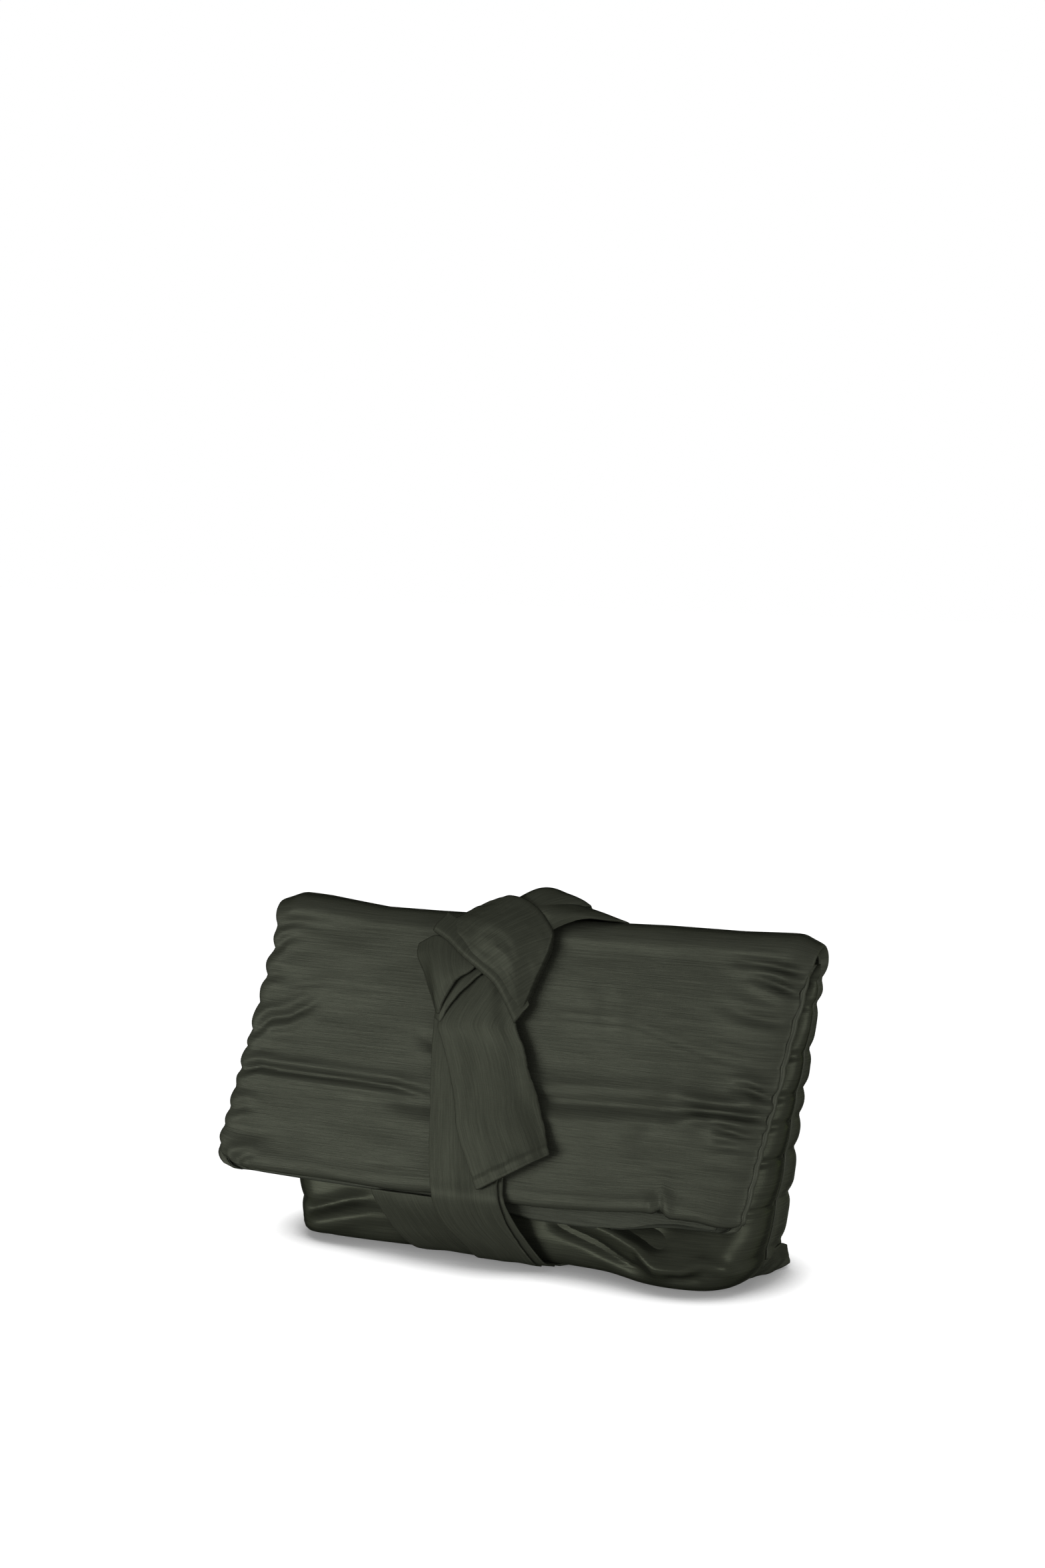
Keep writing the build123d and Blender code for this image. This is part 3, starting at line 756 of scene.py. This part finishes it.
def front_relief(x, _, z):
    """The front panel: slack glossy folds below the flap, and gathers along the side seams."""
    slack = smooth(50.0, 34.0, z) * smooth(1.5, 5.0, z)
    relief = 0.9 * fractal(x / 44.0, z / 15.0, SEED + 21, 2)
    relief += 0.25 * fractal(x / 22.0, z / 7.0, SEED + 25, 2)
    # right of the sash a valley and a rolled ridge slant down together, and the ridge runs on above
    # a pocket to the corner
    valley = [(20, 28), (34, 22.6), (48, 18.9), (61, 14.3), (71, 11), (86, 9.4)]
    roll = [(34, 31), (60, 25.5), (76, 21), (87, 13.4), (101, 13.5), (111, 17.3), (120, 15), (126, 9)]
    relief += crease(x, z, valley, 3.4, 3.2, 0.0, (0.15, 0.2)) + ridge(x, z, roll, 3.4, 3.3, (0.25, 0.1))
    relief += crease(x, z, [(40, 35), (62, 32), (82, 27), (98, 20.5)], 3.2, 5.0, 0.0, (0.2, 0.3))
    relief += crease(x, z, [(90, 8.2), (101, 8.4), (113, 10.6)], 2.6, 2.6, 0.0, (0.3, 0.3))
    # left of the sash one slack roll rises from the bottom corner, under a dark hollow
    roll = [(-126, 5), (-112, 8), (-96, 13), (-78, 17.5), (-56, 18)]
    hollow = [(-122, 13), (-108, 18.5), (-92, 24), (-70, 27.5)]
    relief += ridge(x, z, roll, 2.8, 4.6, (0.1, 0.5)) + crease(x, z, hollow, 3.0, 3.4, 0.0, (0.15, 0.5))
    relief = relief * slack
    for side, n, at in sack_notches():
        points = [(side * 108, at - 4 + 3 * (n % 3)), (side * 127, at - 1), (side * 154, at)]
        relief += crease(x, z, points, 1.3, 1.5, 0.5, (0.8, 0.0)) * smooth(24, 40, z)
    return relief - 0.35 * (1 - slack)


def plain_relief(x, _, z):
    return 0.15 * fractal(x / 50.0, z / 14.0, SEED + 31) - 0.25


# the two pieces that most other cloth rests on
BACK, FRONT = "back_and_flap_front_panel", "front_panel_padded"


def finish_piece(obj, body, slot, *nodes, fill=None):
    if body == "fold":
        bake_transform(obj)
    elif body == "sash_fold":
        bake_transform(obj)
    elif body == "sash_tail":
        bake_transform(obj)
    else:
        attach(obj, body)
    if nodes:
        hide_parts(*nodes)
    return obj


WADDING_FILL = 0.35


def walls():
    back, back_lining = padded_wall(BACK, back_path, outside_relief, 1.5, "back_and_flap_front_lining",
                                    FLAP_HEM_Z)
    finish_piece(back, "fold", "outer_satin", "back_panel", "back_wadding", "fold_outer",
                 "flap_front_panel", "flap_front_wadding", fill=WADDING_FILL)
    finish_piece(back_lining, "fold", "lining_cloth", "back_lining", "flap_front_lining")
    front, front_lining = padded_wall(FRONT, front_path, front_relief, 1.5, "front_lining_cloth",
                                      cloth=FRONT_SATIN_SHADED, flip=True)
    finish_piece(front, "sack", "outer_satin", "front_panel", "front_wadding", fill=WADDING_FILL)
    finish_piece(front_lining, "sack", "lining_cloth", "front_lining")
    inside, inside_lining = padded_wall("flap_inner_panel_padded", inner_flap_path, plain_relief, 1.8,
                                        "flap_inner_lining_cloth", INNER_HEM_Z)
    finish_piece(inside, "flap", "outer_satin", "flap_inner_panel", "flap_inner_wadding", fill=WADDING_FILL)
    finish_piece(inside_lining, "flap", "lining_cloth", "flap_inner_lining")


walls()


# ---- the mouth's turned-in hems, and the crease's inner turn -----------------------------------------
HEM_DEPTH, HEM_INSET, HEM_CLOTH = 10.0, 12.0, 0.5
STITCH_DROP, STITCH_WAVES = 2.2, 190.0


def mouth_hem(name, facing, low_z, node):
    """The satin's turned-in edge inside the mouth, with its row of stitches pulled in."""
    u = np.linspace(-1, 1, 180)
    rows = []
    for z in np.linspace(low_z + HEM_DEPTH, low_z + 0.6, 12):
        gap = flap_half_depth(z) - WALL - 0.15
        stitch = 0.25 * np.exp(-(((z - low_z - HEM_DEPTH + STITCH_DROP) / 0.8) ** 2))
        wave = 0.12 * np.sin(u * STITCH_WAVES)
        x = flap_middle_x(z) + u * (flap_half_width(z) - HEM_INSET)
        y = flap_middle_y(z) + facing * (gap + stitch * (1 + wave))
        height = np.full(len(u), z)
        rows.append(np.stack((x, y, height + hem_drop(x, y, height, low_z)), axis=1))
    outer = np.array(rows)
    inner = outer.copy()
    inner[..., 1] -= facing * HEM_CLOTH
    if facing > 0:
        outer, inner = outer[:, ::-1], inner[:, ::-1]
    # the face towards the mouth's gap is the one seen
    weave = outer[..., [0, 2]]
    obj = sheet_mesh(name, inner[:, ::-1], outer[:, ::-1], weave[:, ::-1], HEM, 0.2)
    return finish_piece(obj, "flap", "hem_satin", node)


mouth_hem("mouth_hem_front_facing", -1, FLAP_HEM_Z, "mouth_hem_front")
mouth_hem("mouth_hem_inner_facing", 1, INNER_HEM_Z, "mouth_hem_inner")

TURN_RADIUS, TURN_CLOTH = 2.6, 0.8


def inner_turn():
    """The satin at the crease itself, between the front panel's top and the flap's inner layer."""
    path = np.vstack(([(CREASE_Y + TURN_RADIUS, SACK_TOP_Z + 2)],
                      arc((CREASE_Y, CREASE_Z), TURN_RADIUS, 0, 180, 14),
                      [(CREASE_Y - TURN_RADIUS, CREASE_Z - 3)]))
    x = np.linspace(-TOP_HALF_WIDTH + 9, TOP_HALF_WIDTH - 9, 150)
    outer = np.array([np.stack(np.broadcast_arrays(x, y, z), axis=1) for y, z in path])
    outer[..., 2] += 0.25 * fractal(x / 9.0, x * 0 + 0.5, SEED + 71)
    inner = outer - grid_normals(outer) * TURN_CLOTH
    weave = np.stack(np.broadcast_arrays(x[None, :], run_length(path)[:, None]), axis=2)
    obj = sheet_mesh("crease_inner_turn", outer, inner, weave, SATIN, 0.2)
    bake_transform(obj)
    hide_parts("fold_inner")


inner_turn()


# ---- seams ------------------------------------------------------------------------------------------
SECTION_POINTS = 10


def tube(name, centres, half_wide, half_thick, side, tilt, material):
    """A flat bound edge round a path of points: its section lies along X and the tilt direction."""
    angles = np.linspace(0, 2 * math.pi, SECTION_POINTS, endpoint=False)
    grid = np.array([
        [centre + np.array((side * wide * math.cos(a), 0, 0)) + lean * thick * math.sin(a) for a in angles]
        for centre, lean, wide, thick in zip(centres, tilt, half_wide, half_thick)])
    rows = len(grid)
    index = np.arange(rows * SECTION_POINTS).reshape(rows, SECTION_POINTS)
    nxt = np.roll(index, -1, axis=1)
    quads = np.stack((index[:-1], nxt[:-1], nxt[1:], index[1:]), axis=2).reshape(-1, 4)
    caps = []
    for end, turned in ((index[0], -1), (index[-1], 1)):
        for k in range(SECTION_POINTS // 2 - 1):
            caps.append([end[k], end[k + 1], end[-k - 2], end[-k - 1]][::turned])
    around = np.tile(np.arange(SECTION_POINTS) * 1.0, rows)
    uv = np.stack((around, np.repeat(run_length(centres), SECTION_POINTS)), axis=1)
    return mesh_object(name, grid.reshape(-1, 3), np.vstack((quads, caps)), uv, material)


def side_seam(side, name, *nodes):
    path = back_path(0.0)
    path = path[path[:, 3] >= BASE_Z + 8]
    run = run_length(path[:, 2:4])
    at = np.arange(0, run[-1], 1.5)
    y, z, half = (np.interp(at, run, column) for column in path[:, 2:].T)
    seam = np.stack((y, z), axis=1)
    shows = seam_on_flap(seam) * smooth(166, 150, z) * (side > 0)
    x = seam_shift(seam) + side * (half + 0.3 + 0.7 * shows) + edge_offset(seam, side, FLAP_HEM_Z)
    ripple = 0.5 * np.sin(at / 5.1 + side) * np.sin(at / 8.3)
    along = unit(np.gradient(seam, axis=0))
    tilt = np.stack((np.zeros(len(at)), -along[:, 1], along[:, 0]), axis=1)
    centres = np.stack((x, y, z), axis=1) + tilt * (0.5 * ripple)[:, None]
    centres[:, 2] += hem_drop(*centres.T, FLAP_HEM_Z)
    width = 0.9 + 0.2 * edge_wave(seam, side) + 0.6 * shows
    obj = tube(name, centres, width, 0.75 + 0.9 * shows, side, tilt, BINDING)
    return finish_piece(obj, "fold", "seam_binding", *nodes)


side_seam(-1, "side_seam_binding_left", "side_seam_left", "flap_seam_left")
side_seam(1, "side_seam_binding_right", "side_seam_right", "flap_seam_right")


def corner_tuck(side, name, node):
    """The folded-over triangle of cloth at a boxed corner, its point standing out to the back."""
    foot_x = BASE_HALF_WIDTH + side * BASE_SHIFT
    top = [(-2.4, -14, 11.0), (1.6, -6, 14.0), (3.2, 3, 15.0), (3.4, 11, 12.5)]
    foot = [(-10.0, -17, 1.0), (-4.6, -8, 0.8), (0.8, 3, 1.2), (4.8, 12.5, 2.8)]
    rows = []
    for share, out in ((0, 0.0), (0.35, 1.6), (0.7, 1.4), (1, 0.0)):
        row = []
        for n, (a, b) in enumerate(zip(top, foot)):
            x, y, z = (high + (low - high) * share for high, low in zip(a, b))
            row.append((side * (foot_x + x + out * (1 - n / 3)), y, z))
        rows.append(row)
    grid = patch(rows, 60, 24)[:, ::side]
    obj = strip(name, grid, 1.2, SATIN, folds(24, 60, 5.0, 0.35, 91), 0.5)
    finish_piece(obj, "sack", "outer_satin", node)


corner_tuck(-1, "corner_tuck_fold_left", "corner_tuck_left")
corner_tuck(1, "corner_tuck_fold_right", "corner_tuck_right")


# ---- the sash -------------------------------------------------------------------------------------------
LIFT_ON_SLOPE = 1.05  # a lift square to the sloping flap, taken along Y
RIBBON_SHARES = (0, 0.33, 0.67, 1)
# how far each layer of the strip lies off the cloth behind it
UPPER_LIFT, LOWER_LIFT, BACK_LIFT, UNDER_Z = 3.6, 2.1, 1.6, 0.35
ON_SACK_Y = middle_y(12.0) - half_depth(FULL_DEPTH_Z)


def on_flap(x, z, lift):
    """Points on the flap's face, raised by lift."""
    return np.stack((x, flap_face_y(z) - LIFT_ON_SLOPE * lift, z), axis=-1)


def flap_patch(rows, across_count, along_count):
    """A smooth grid through rows of points on the flap, each given as (x, z, lift)."""
    return on_flap(*parts(patch(rows, across_count, along_count)))


def ribbon(path, edges, across_count, along_count):
    """A grid along a (y, z) path; edges gives (x left, x right) at each path point."""
    rows = [[(left + (right - left) * share, y, z) for share in RIBBON_SHARES]
            for (y, z), (left, right) in zip(path, edges)]
    return patch(rows, across_count, along_count)


def sash_strip(name, body, nodes, grid, thickness, wrinkles=None, bulge=0.4,
               stitches=0.0):
    relief = None if wrinkles is None else folds(*grid.shape[:2], *wrinkles) + stitches
    obj = strip(name, grid, thickness, SASH, relief, bulge)
    finish_piece(obj, body, "sash_satin", *nodes)


def front_run(lift):
    """The strip's path of (y, z) down the flap, round its hem and down the sack's lower front."""
    hem_y = flap_face_y(37) - lift
    return [(flap_face_y(z) - lift, z) for z in (124, 100, 80, 60, 45)] + [
        (hem_y, 37.5), (hem_y - 0.1, 31.0), (hem_y + 0.8, 24), (hem_y + 2.3, 17), (hem_y + 4.5, 10),
        (hem_y + 8.0, 4.2), (ON_SACK_Y - lift + 7.0, 1.6)]


def front_strand():
    """Two layers of the strip, from the knot down over the flap to the floor."""
    edges = [(-49, -12), (-47, 1), (-44.5, -1), (-42, -2), (-39.5, -1.5), (-37.5, 0), (-36, 2), (-33, 5),
             (-27, 9.5), (-20, 13.5), (-16, 16.5), (-14, 18)]
    sash_strip("sash_front_strand_cloth", "sash_front", ["sash_front_strand"],
               ribbon(front_run(UPPER_LIFT), edges, 50, 120), 1.1,
               (3.0, 0.7, 41))
    edges = [(-30, -10), (-30, 2.5), (-30, 0.8), (-28, 0.2), (-26, 0.8), (-24, 2.6), (-22, 5.4), (-18, 9.5),
             (-12, 14.2), (-8, 18.5), (-4, 22.0), (-2, 24.5)]
    sash_strip("sash_front_strand_lower_layer", "sash_front", [],
               ribbon(front_run(LOWER_LIFT), edges, 36, 120), 1.0,
               (2.0, 0.4, 42))


def front_pleat():
    """The strip's folded-out left edge below the flap."""
    edges = [(-75, -28), (-73, -26), (-70, -23), (-65.5, -18), (-60, -13), (-53.5, -8), (-49, -5)]
    path = [(-50.4, 33.2), (-50.7, 29), (-50.4, 24), (-49.2, 17), (-47.6, 10), (-44.4, 4.2), (-39.2, 1.6)]
    sash_strip("sash_front_pleat_cloth", "sash_front", ["sash_front_pleat"],
               ribbon(path, edges, 40, 60), 1.0, (2.5, 0.7, 43))


STITCH_AT, STITCH_WIDTH = 0.962, 0.008  # the tail's stitched end, in shares of its length
PUCKER_AT, PUCKER_WIDTH = 0.955, 0.03


def tail():
    rows = [
        [(-30, 146, 4.2), (-20, 150, 5.6), (-9, 145, 5.0)],
        [(-37, 136, 4.0), (-22, 139, 6.0), (-5.5, 134, 5.0)],
        [(-43, 126.5, 3.6), (-24, 128.5, 6.2), (-3.2, 128, 4.6)],
        [(-45.4, 118.7, 3.4), (-23, 120, 6.0), (-0.6, 120.5, 4.2)],
        [(-42, 112, 3.4), (-19, 112, 5.2), (4.6, 111, 3.6)],
        [(-36.4, 99.6, 3.4), (-13, 99, 5.0), (10.2, 98, 3.6)],
        [(-31, 84, 3.6), (-8, 85, 5.2), (16.4, 86, 3.8)],
        [(-26, 68, 4.2), (-2, 71, 5.8), (21.5, 74, 4.4)],
        [(-18.5, 54, 5.0), (2, 60, 6.4), (24, 67.5, 5.0)],
        [(-11.2, 42.2, 6.0), (7.5, 52.6, 7.2), (26, 63.2, 5.6)],
    ]
    grid = flap_patch(rows, 54, 96)
    down = np.linspace(0, 1, 96)[:, None]
    across_tail = np.linspace(0, 1, 54)[None, :]
    stitched = np.exp(-(((down - STITCH_AT) / STITCH_WIDTH) ** 2))
    puckers = value_noise(across_tail * 11, down * 0 + 0.5, SEED + 49)
    puckers = puckers * np.exp(-(((down - PUCKER_AT) / PUCKER_WIDTH) ** 2))
    sash_strip("sash_tail_cloth", "sash_tail", ["sash_tail"], grid, 1.5,
               (3.0, 0.9, 47), stitches=0.45 * puckers - 0.55 * stitched)


def coons(bottom, right, top, left, count_across, count_along):
    """A patch between four edges that share their corners: bottom and top run left to right."""
    low, high = spline(bottom, count_across), spline(top, count_across)
    near, far = spline(left, count_along), spline(right, count_along)
    s = np.linspace(0, 1, count_across)[None, :, None]
    v = np.linspace(0, 1, count_along)[:, None, None]
    ruled = (1 - v) * low[None] + v * high[None] + (1 - s) * near[:, None] + s * far[:, None]
    corners = (1 - v) * ((1 - s) * low[0] + s * low[-1]) + v * ((1 - s) * high[0] + s * high[-1])
    return ruled - corners


WRAP_CROWN, WRAP_THICKNESS, WRAP_INNERMOST_Y = 4.5, 9.0, -12.9


def knot_wrap():
    """The doubled strip that crosses over the knot; its under layer shows along the lower-left edge."""
    lower_edge = [(-52.3, 166.8, 9), (-42.9, 162.9, 10.5), (-33.1, 156.7, 12), (-23.6, 151.3, 12.4),
                  (-13.5, 144.3, 11.2), (-7.0, 135.0, 9.0), (-2.0, 125.6, 6.2)]
    gaps = [1.6, 1.9, 2.2, 2.4, 2.7, 2.9, 2.6]
    bottom = [(x + 0.565 * gap, z + 0.825 * gap, lift + 1.0) for (x, z, lift), gap in zip(lower_edge, gaps)]
    right = [bottom[-1], (3.0, 137.2, 8.0), (7.6, 150.0, 8.6), (11.4, 161.0, 8.4), (12.4, 170, 7.6)]
    top = [(-20, 184.6, 9.5), (-13, 186.2, 11), (-3, 184.2, 11), (6, 178.0, 9.5), (12.4, 170, 8)]
    left = [bottom[0], (-45.5, 171.0, 9.4), (-33.7, 177.6, 9.5), (-20, 184.6, 9.5)]
    x, z, lift = parts(coons(bottom, right, top, left, 64, 56)[::-1])
    s = np.linspace(-1, 1, 64)[None, :]
    t = np.linspace(-1, 1, 56)[:, None]
    face = on_flap(x, z, lift + WRAP_CROWN * (1 - s**2) * (1 - t**2))
    face = face + grid_normals(face) * (0.5 * fractal(s * 1.6, t * 2.2, 53))[..., None]
    inside = on_flap(x * 0.97 - 0.5, z, np.maximum(lift - WRAP_THICKNESS, 1.2))
    inside[..., 1] = np.minimum(inside[..., 1], WRAP_INNERMOST_Y)
    obj = sheet_mesh("sash_knot_wrap_cloth", face, inside, weave_on(face), SASH, 1.6, 5)
    finish_piece(obj, "sash_front", "sash_satin", "sash_knot_wrap")
    offsets = ((0, 0, -0.2), (1.1, 1.7, 0.5), (3.4, 4.9, -0.3), (5.6, 8.2, -1.6))
    rows = [[np.add(point, offset) for point in lower_edge] for offset in offsets]
    sash_strip("sash_knot_wrap_under_layer", "sash_front", [], flap_patch(rows, 70, 20)[::-1], 1.5,
               bulge=0.7)


def knot_loop():
    """The loop left of the tail, with its folded right edge and the layer under it."""
    rows = [
        [(-62.0, 158.0, 4.5), (-50, 163.5, 7.5), (-38, 158.5, 8.5), (-26.9, 151.3, 9)],
        [(-61.5, 153.0, 5), (-50, 155.5, 8.5), (-40, 151.0, 9.5), (-31.5, 147.2, 9)],
        [(-57.4, 145.8, 5), (-50, 146.5, 8.5), (-42.5, 144.5, 9.5), (-37.4, 142.6, 9)],
        [(-53.2, 138.5, 5), (-49, 138.5, 7.5), (-45, 137.8, 8.5), (-41.5, 136.2, 8)],
        [(-49.6, 131.0, 4.5), (-47.8, 131.0, 6.0), (-46, 130.6, 6.5), (-44.4, 129.6, 6.5)],
        [(-47.6, 126.0, 4), (-46.8, 126.0, 4.6), (-46, 125.8, 5), (-45.4, 125.5, 5)],
    ]
    sash_strip("sash_knot_loop_cloth", "sash_front", ["sash_knot_loop"], flap_patch(rows, 40, 48), 1.5,
               (2.0, 0.3, 57), 0.7)
    rows = [
        [(-35, 152, 5.0), (-28, 151, 6.6), (-22.7, 148, 7.6)],
        [(-43, 142, 5.0), (-38.5, 140.6, 6.6), (-34.3, 137.8, 7.0)],
        [(-47, 131.5, 4.6), (-44, 130.8, 5.6), (-40.8, 129, 6.0)],
        [(-48, 123, 3.6), (-46, 122.3, 4.4), (-44.5, 121.5, 4.6)],
    ]
    sash_strip("sash_knot_loop_under_layer", "sash_front", [], flap_patch(rows, 24, 40), 1.3,
               bulge=0.6)


def top_strand():
    """Over the fold: two layers of the strip run up from the back and gather into the knot."""
    rows = [
        [(-20, 13.2, 143), (0, 13.4, 143), (22, 13.4, 143), (44, 13.2, 143)],
        [(-20, 12.6, 160), (0, 12.8, 160), (22, 12.8, 160), (45, 12.6, 160)],
        [(-20, 9.5, 171), (-3, 10.0, 174.5), (15, 10.0, 174.5), (32, 9.6, 172.5), (46, 9.2, 170.0)],
        [(-19, 2, 178), (-2, 1, 184.5), (14, 1, 183.4), (29, 1, 180.6), (46, 1, 175.4)],
        [(-18, -6, 179), (-3, -6, 185.5), (10, -6.5, 183.6), (26, -6.5, 180.2), (38.9, -4, 176.6)],
        [(-16, -12, 178), (-6, -13, 182.5), (4, -13, 181.5), (14, -12.5, 179.0), (24, -9.4, 176.8)],
        [(-12, -13, 175), (-4, -13.6, 177), (2, -14, 176), (7, -14.5, 174), (12, -14.8, 171.6)],
    ]
    sash_strip("sash_top_strand_cloth", "sash_fold", ["sash_top_strand"], patch(rows, 56, 90)[:, ::-1], 1.2,
               (3.0, 0.6, 61))
    rows = [
        [(-17, 13.6, 147), (0, 14.2, 147), (12, 14.2, 147), (24, 13.6, 147)],
        [(-18, 13.6, 160), (0, 14.2, 161), (12, 14.2, 161), (24, 13.8, 160)],
        [(-18, 11.6, 171), (0, 12.2, 174), (12, 12.2, 173.5), (24, 11.8, 171.5)],
        [(-18, 7, 179.5), (0, 7.6, 185.2), (12, 7.4, 184.0), (24, 7.0, 179.8)],
        [(-18, 1, 181), (0.8, 1, 189.4), (12.5, 1, 187.4), (20.3, 1, 184.8), (24.4, 1, 182.0)],
        [(-17, -5, 181.5), (-2.5, -5.5, 189.0), (6, -5.5, 187.4), (12, -5.5, 184.0), (15, -5, 180.6)],
        [(-15, -11, 180.6), (-6, -11.5, 184.6), (0, -11.5, 183.6), (5, -12, 180.6), (7.6, -12, 177.0)],
        [(-12, -14.0, 175.6), (-5, -14.4, 178.0), (0, -14.6, 177.4), (4, -15, 175.0), (6.6, -15.6, 172.0)],
    ]
    sash_strip("sash_top_strand_upper_layer", "sash_fold", [], patch(rows, 48, 96)[:, ::-1], 1.3,
               (2.0, 0.4, 63), 0.6)


def back_strand():
    path = [(middle_y(z) + half_depth(z) + BACK_LIFT, z) for z in (149, 120, 90, 60, 36, 16)]
    low_y = path[-1][0]
    path += [(low_y - 1.0, 9), (low_y - 4.0, 4), (low_y - 9.0, 1.7)]
    edges = [(-20, 44), (-18, 47), (-17, 50), (-15, 53), (-14, 55.5), (-13, 57), (-12.5, 57.5), (-12, 58),
             (-12, 58)]
    sash_strip("sash_back_strand_cloth", "sash_rear", ["sash_back_strand"],
               ribbon(path, edges, 50, 110)[:, ::-1], 1.2,
               (4.0, 0.7, 67))


def under_strand():
    z = UNDER_Z
    rows = [[(-12, 8, z), (22, 8, z), (58, 8, z)], [(-14, -14, z), (8, -14, z), (42, -14, z)],
            [(-15, -36, z), (5, -36, z), (26, -36, z)]]
    sash_strip("sash_under_strand_cloth", "sash_rear", ["sash_under_strand"], patch(rows, 24, 24), 1.1,
               bulge=0.2)


front_strand()
front_pleat()
tail()
knot_wrap()
knot_loop()
top_strand()
back_strand()
under_strand()

# ---- floor, light and camera -------------------------------------------------------------------------
FLOOR_SIZE = 8.0
FLOOR_SEEN, FLOOR_UNSEEN = 0.7, 0.8  # its grey to rays that look at it, and as it lights the object
FLOOR_GLOW = 0.14
SHADOW_REACH, SHADOW_DARKEST, SHADOW_LIGHTEST, SHADOW_SAMPLES = 0.034, 0.40, 0.97, 8
WORLD_HORIZON, WORLD_ZENITH = 0.32, 0.05
HORIZON_HEIGHT, ZENITH_HEIGHT = 0.05, 0.85


def seen_rays(tree):
    """One for rays that look at a thing, straight, in a reflection or through something clear."""
    path = made(tree, "LightPath")
    total = path.outputs["Is Camera Ray"]
    for kind in ("Is Glossy Ray", "Is Transmission Ray"):
        total = maths(tree, "MAXIMUM", total, path.outputs[kind])
    return total


def floor():
    """A white floor that keeps the object's shadow and fades into the white background."""
    mesh = bpy.data.meshes.new("floor")
    half = FLOOR_SIZE / 2
    corners = [(-half, -half), (half, -half), (half, half), (-half, half)]
    mesh.from_pydata([(x, y, 0.0) for x, y in corners], [], [(0, 1, 2, 3)])
    obj = bpy.data.objects.new("floor", mesh)
    bpy.context.scene.collection.objects.link(obj)
    material = bpy.data.materials.new("floor_white")
    material.use_nodes = True
    tree = material.node_tree
    tree.nodes.remove(tree.nodes["Principled BSDF"])
    looked_at = seen_rays(tree)
    unseen, seen = (made(tree, "BsdfDiffuse", None, {"Color": (level, level, level, 1)})
                    for level in (FLOOR_UNSEEN, FLOOR_SEEN))
    mixed = {"Fac": looked_at, 1: unseen.outputs["BSDF"], 2: seen.outputs["BSDF"]}
    paint = made(tree, "MixShader", None, mixed)
    nearby = made(tree, "AmbientOcclusion", {"samples": SHADOW_SAMPLES}, {"Distance": SHADOW_REACH})
    lift = eased(tree, nearby.outputs["AO"], SHADOW_DARKEST, SHADOW_LIGHTEST, FLOOR_GLOW, 1.0)
    glow = made(tree, "Emission", None, {"Strength": maths(tree, "MULTIPLY", lift, looked_at)})
    both = made(tree, "AddShader", None, {0: paint.outputs["Shader"], 1: glow.outputs["Emission"]})
    tree.links.new(both.outputs["Shader"], tree.nodes["Material Output"].inputs["Surface"])
    mesh.materials.append(material)


LAMP_AIM = (0, 0, 0.08)


def lamp(name, place, width, height, power):
    data = bpy.data.lights.new(name, "AREA")
    data.shape = "RECTANGLE"
    data.size, data.size_y = width, height
    data.energy = power
    obj = bpy.data.objects.new(name, data)
    obj.location = place
    obj.rotation_euler = (Vector(LAMP_AIM) - Vector(place)).to_track_quat("-Z", "Y").to_euler()
    obj.visible_camera = False
    bpy.context.scene.collection.objects.link(obj)


def world():
    """White to the camera; to the object a studio that is dim overhead and light round about."""
    scene_world = bpy.data.worlds.new("studio")
    scene_world.use_nodes = True
    tree = scene_world.node_tree
    direction = made(tree, "TexCoord").outputs["Generated"]
    height = made(tree, "SeparateXYZ", None, {"Vector": direction}).outputs["Z"]
    studio = eased(tree, height, HORIZON_HEIGHT, ZENITH_HEIGHT, WORLD_HORIZON, WORLD_ZENITH)
    level = made(tree, "Mix", {"data_type": "FLOAT"}, {"Factor": seen_rays(tree), "A": studio, "B": 1.0})
    background = tree.nodes["Background"]
    background.inputs["Color"].default_value = (1, 1, 1, 1)
    tree.links.new(level.outputs["Result"], background.inputs["Strength"])
    bpy.context.scene.world = scene_world


floor()
world()
lamp("front_softbox", (-1.0, -1.6, 0.24), 1.3, 0.45, 21)
lamp("back_softbox", (0.9, 1.7, 0.22), 1.3, 0.4, 16)
lamp("right_fill", (1.6, -0.9, 0.3), 0.9, 0.5, 11)

# The photograph's viewing angle: 24.8 degrees to the right of the front and 14.5 above the floor.
AZIMUTH, ELEVATION, DISTANCE = math.radians(24.8), math.radians(14.5), 1.447
AIM = in_frame(0, 0, 75)
LENS, SENSOR = 63.57, 36.0
SHIFT_X, SHIFT_Y = -0.0134, 0.2043
camera_data = bpy.data.cameras.new("camera")
camera_data.sensor_fit = "VERTICAL"
camera_data.sensor_height = SENSOR
camera_data.lens = LENS
camera_data.shift_x = SHIFT_X
camera_data.shift_y = SHIFT_Y
camera_data.clip_end = 20
camera = bpy.data.objects.new("camera", camera_data)
toward = np.array((math.sin(AZIMUTH) * math.cos(ELEVATION),
                   -math.cos(AZIMUTH) * math.cos(ELEVATION), math.sin(ELEVATION)))
camera.location = tuple(AIM + toward * DISTANCE)
camera.rotation_euler = (math.pi / 2 - ELEVATION, 0, AZIMUTH)
bpy.context.scene.collection.objects.link(camera)
bpy.context.scene.camera = camera
bpy.context.scene.view_settings.view_transform = "Standard"
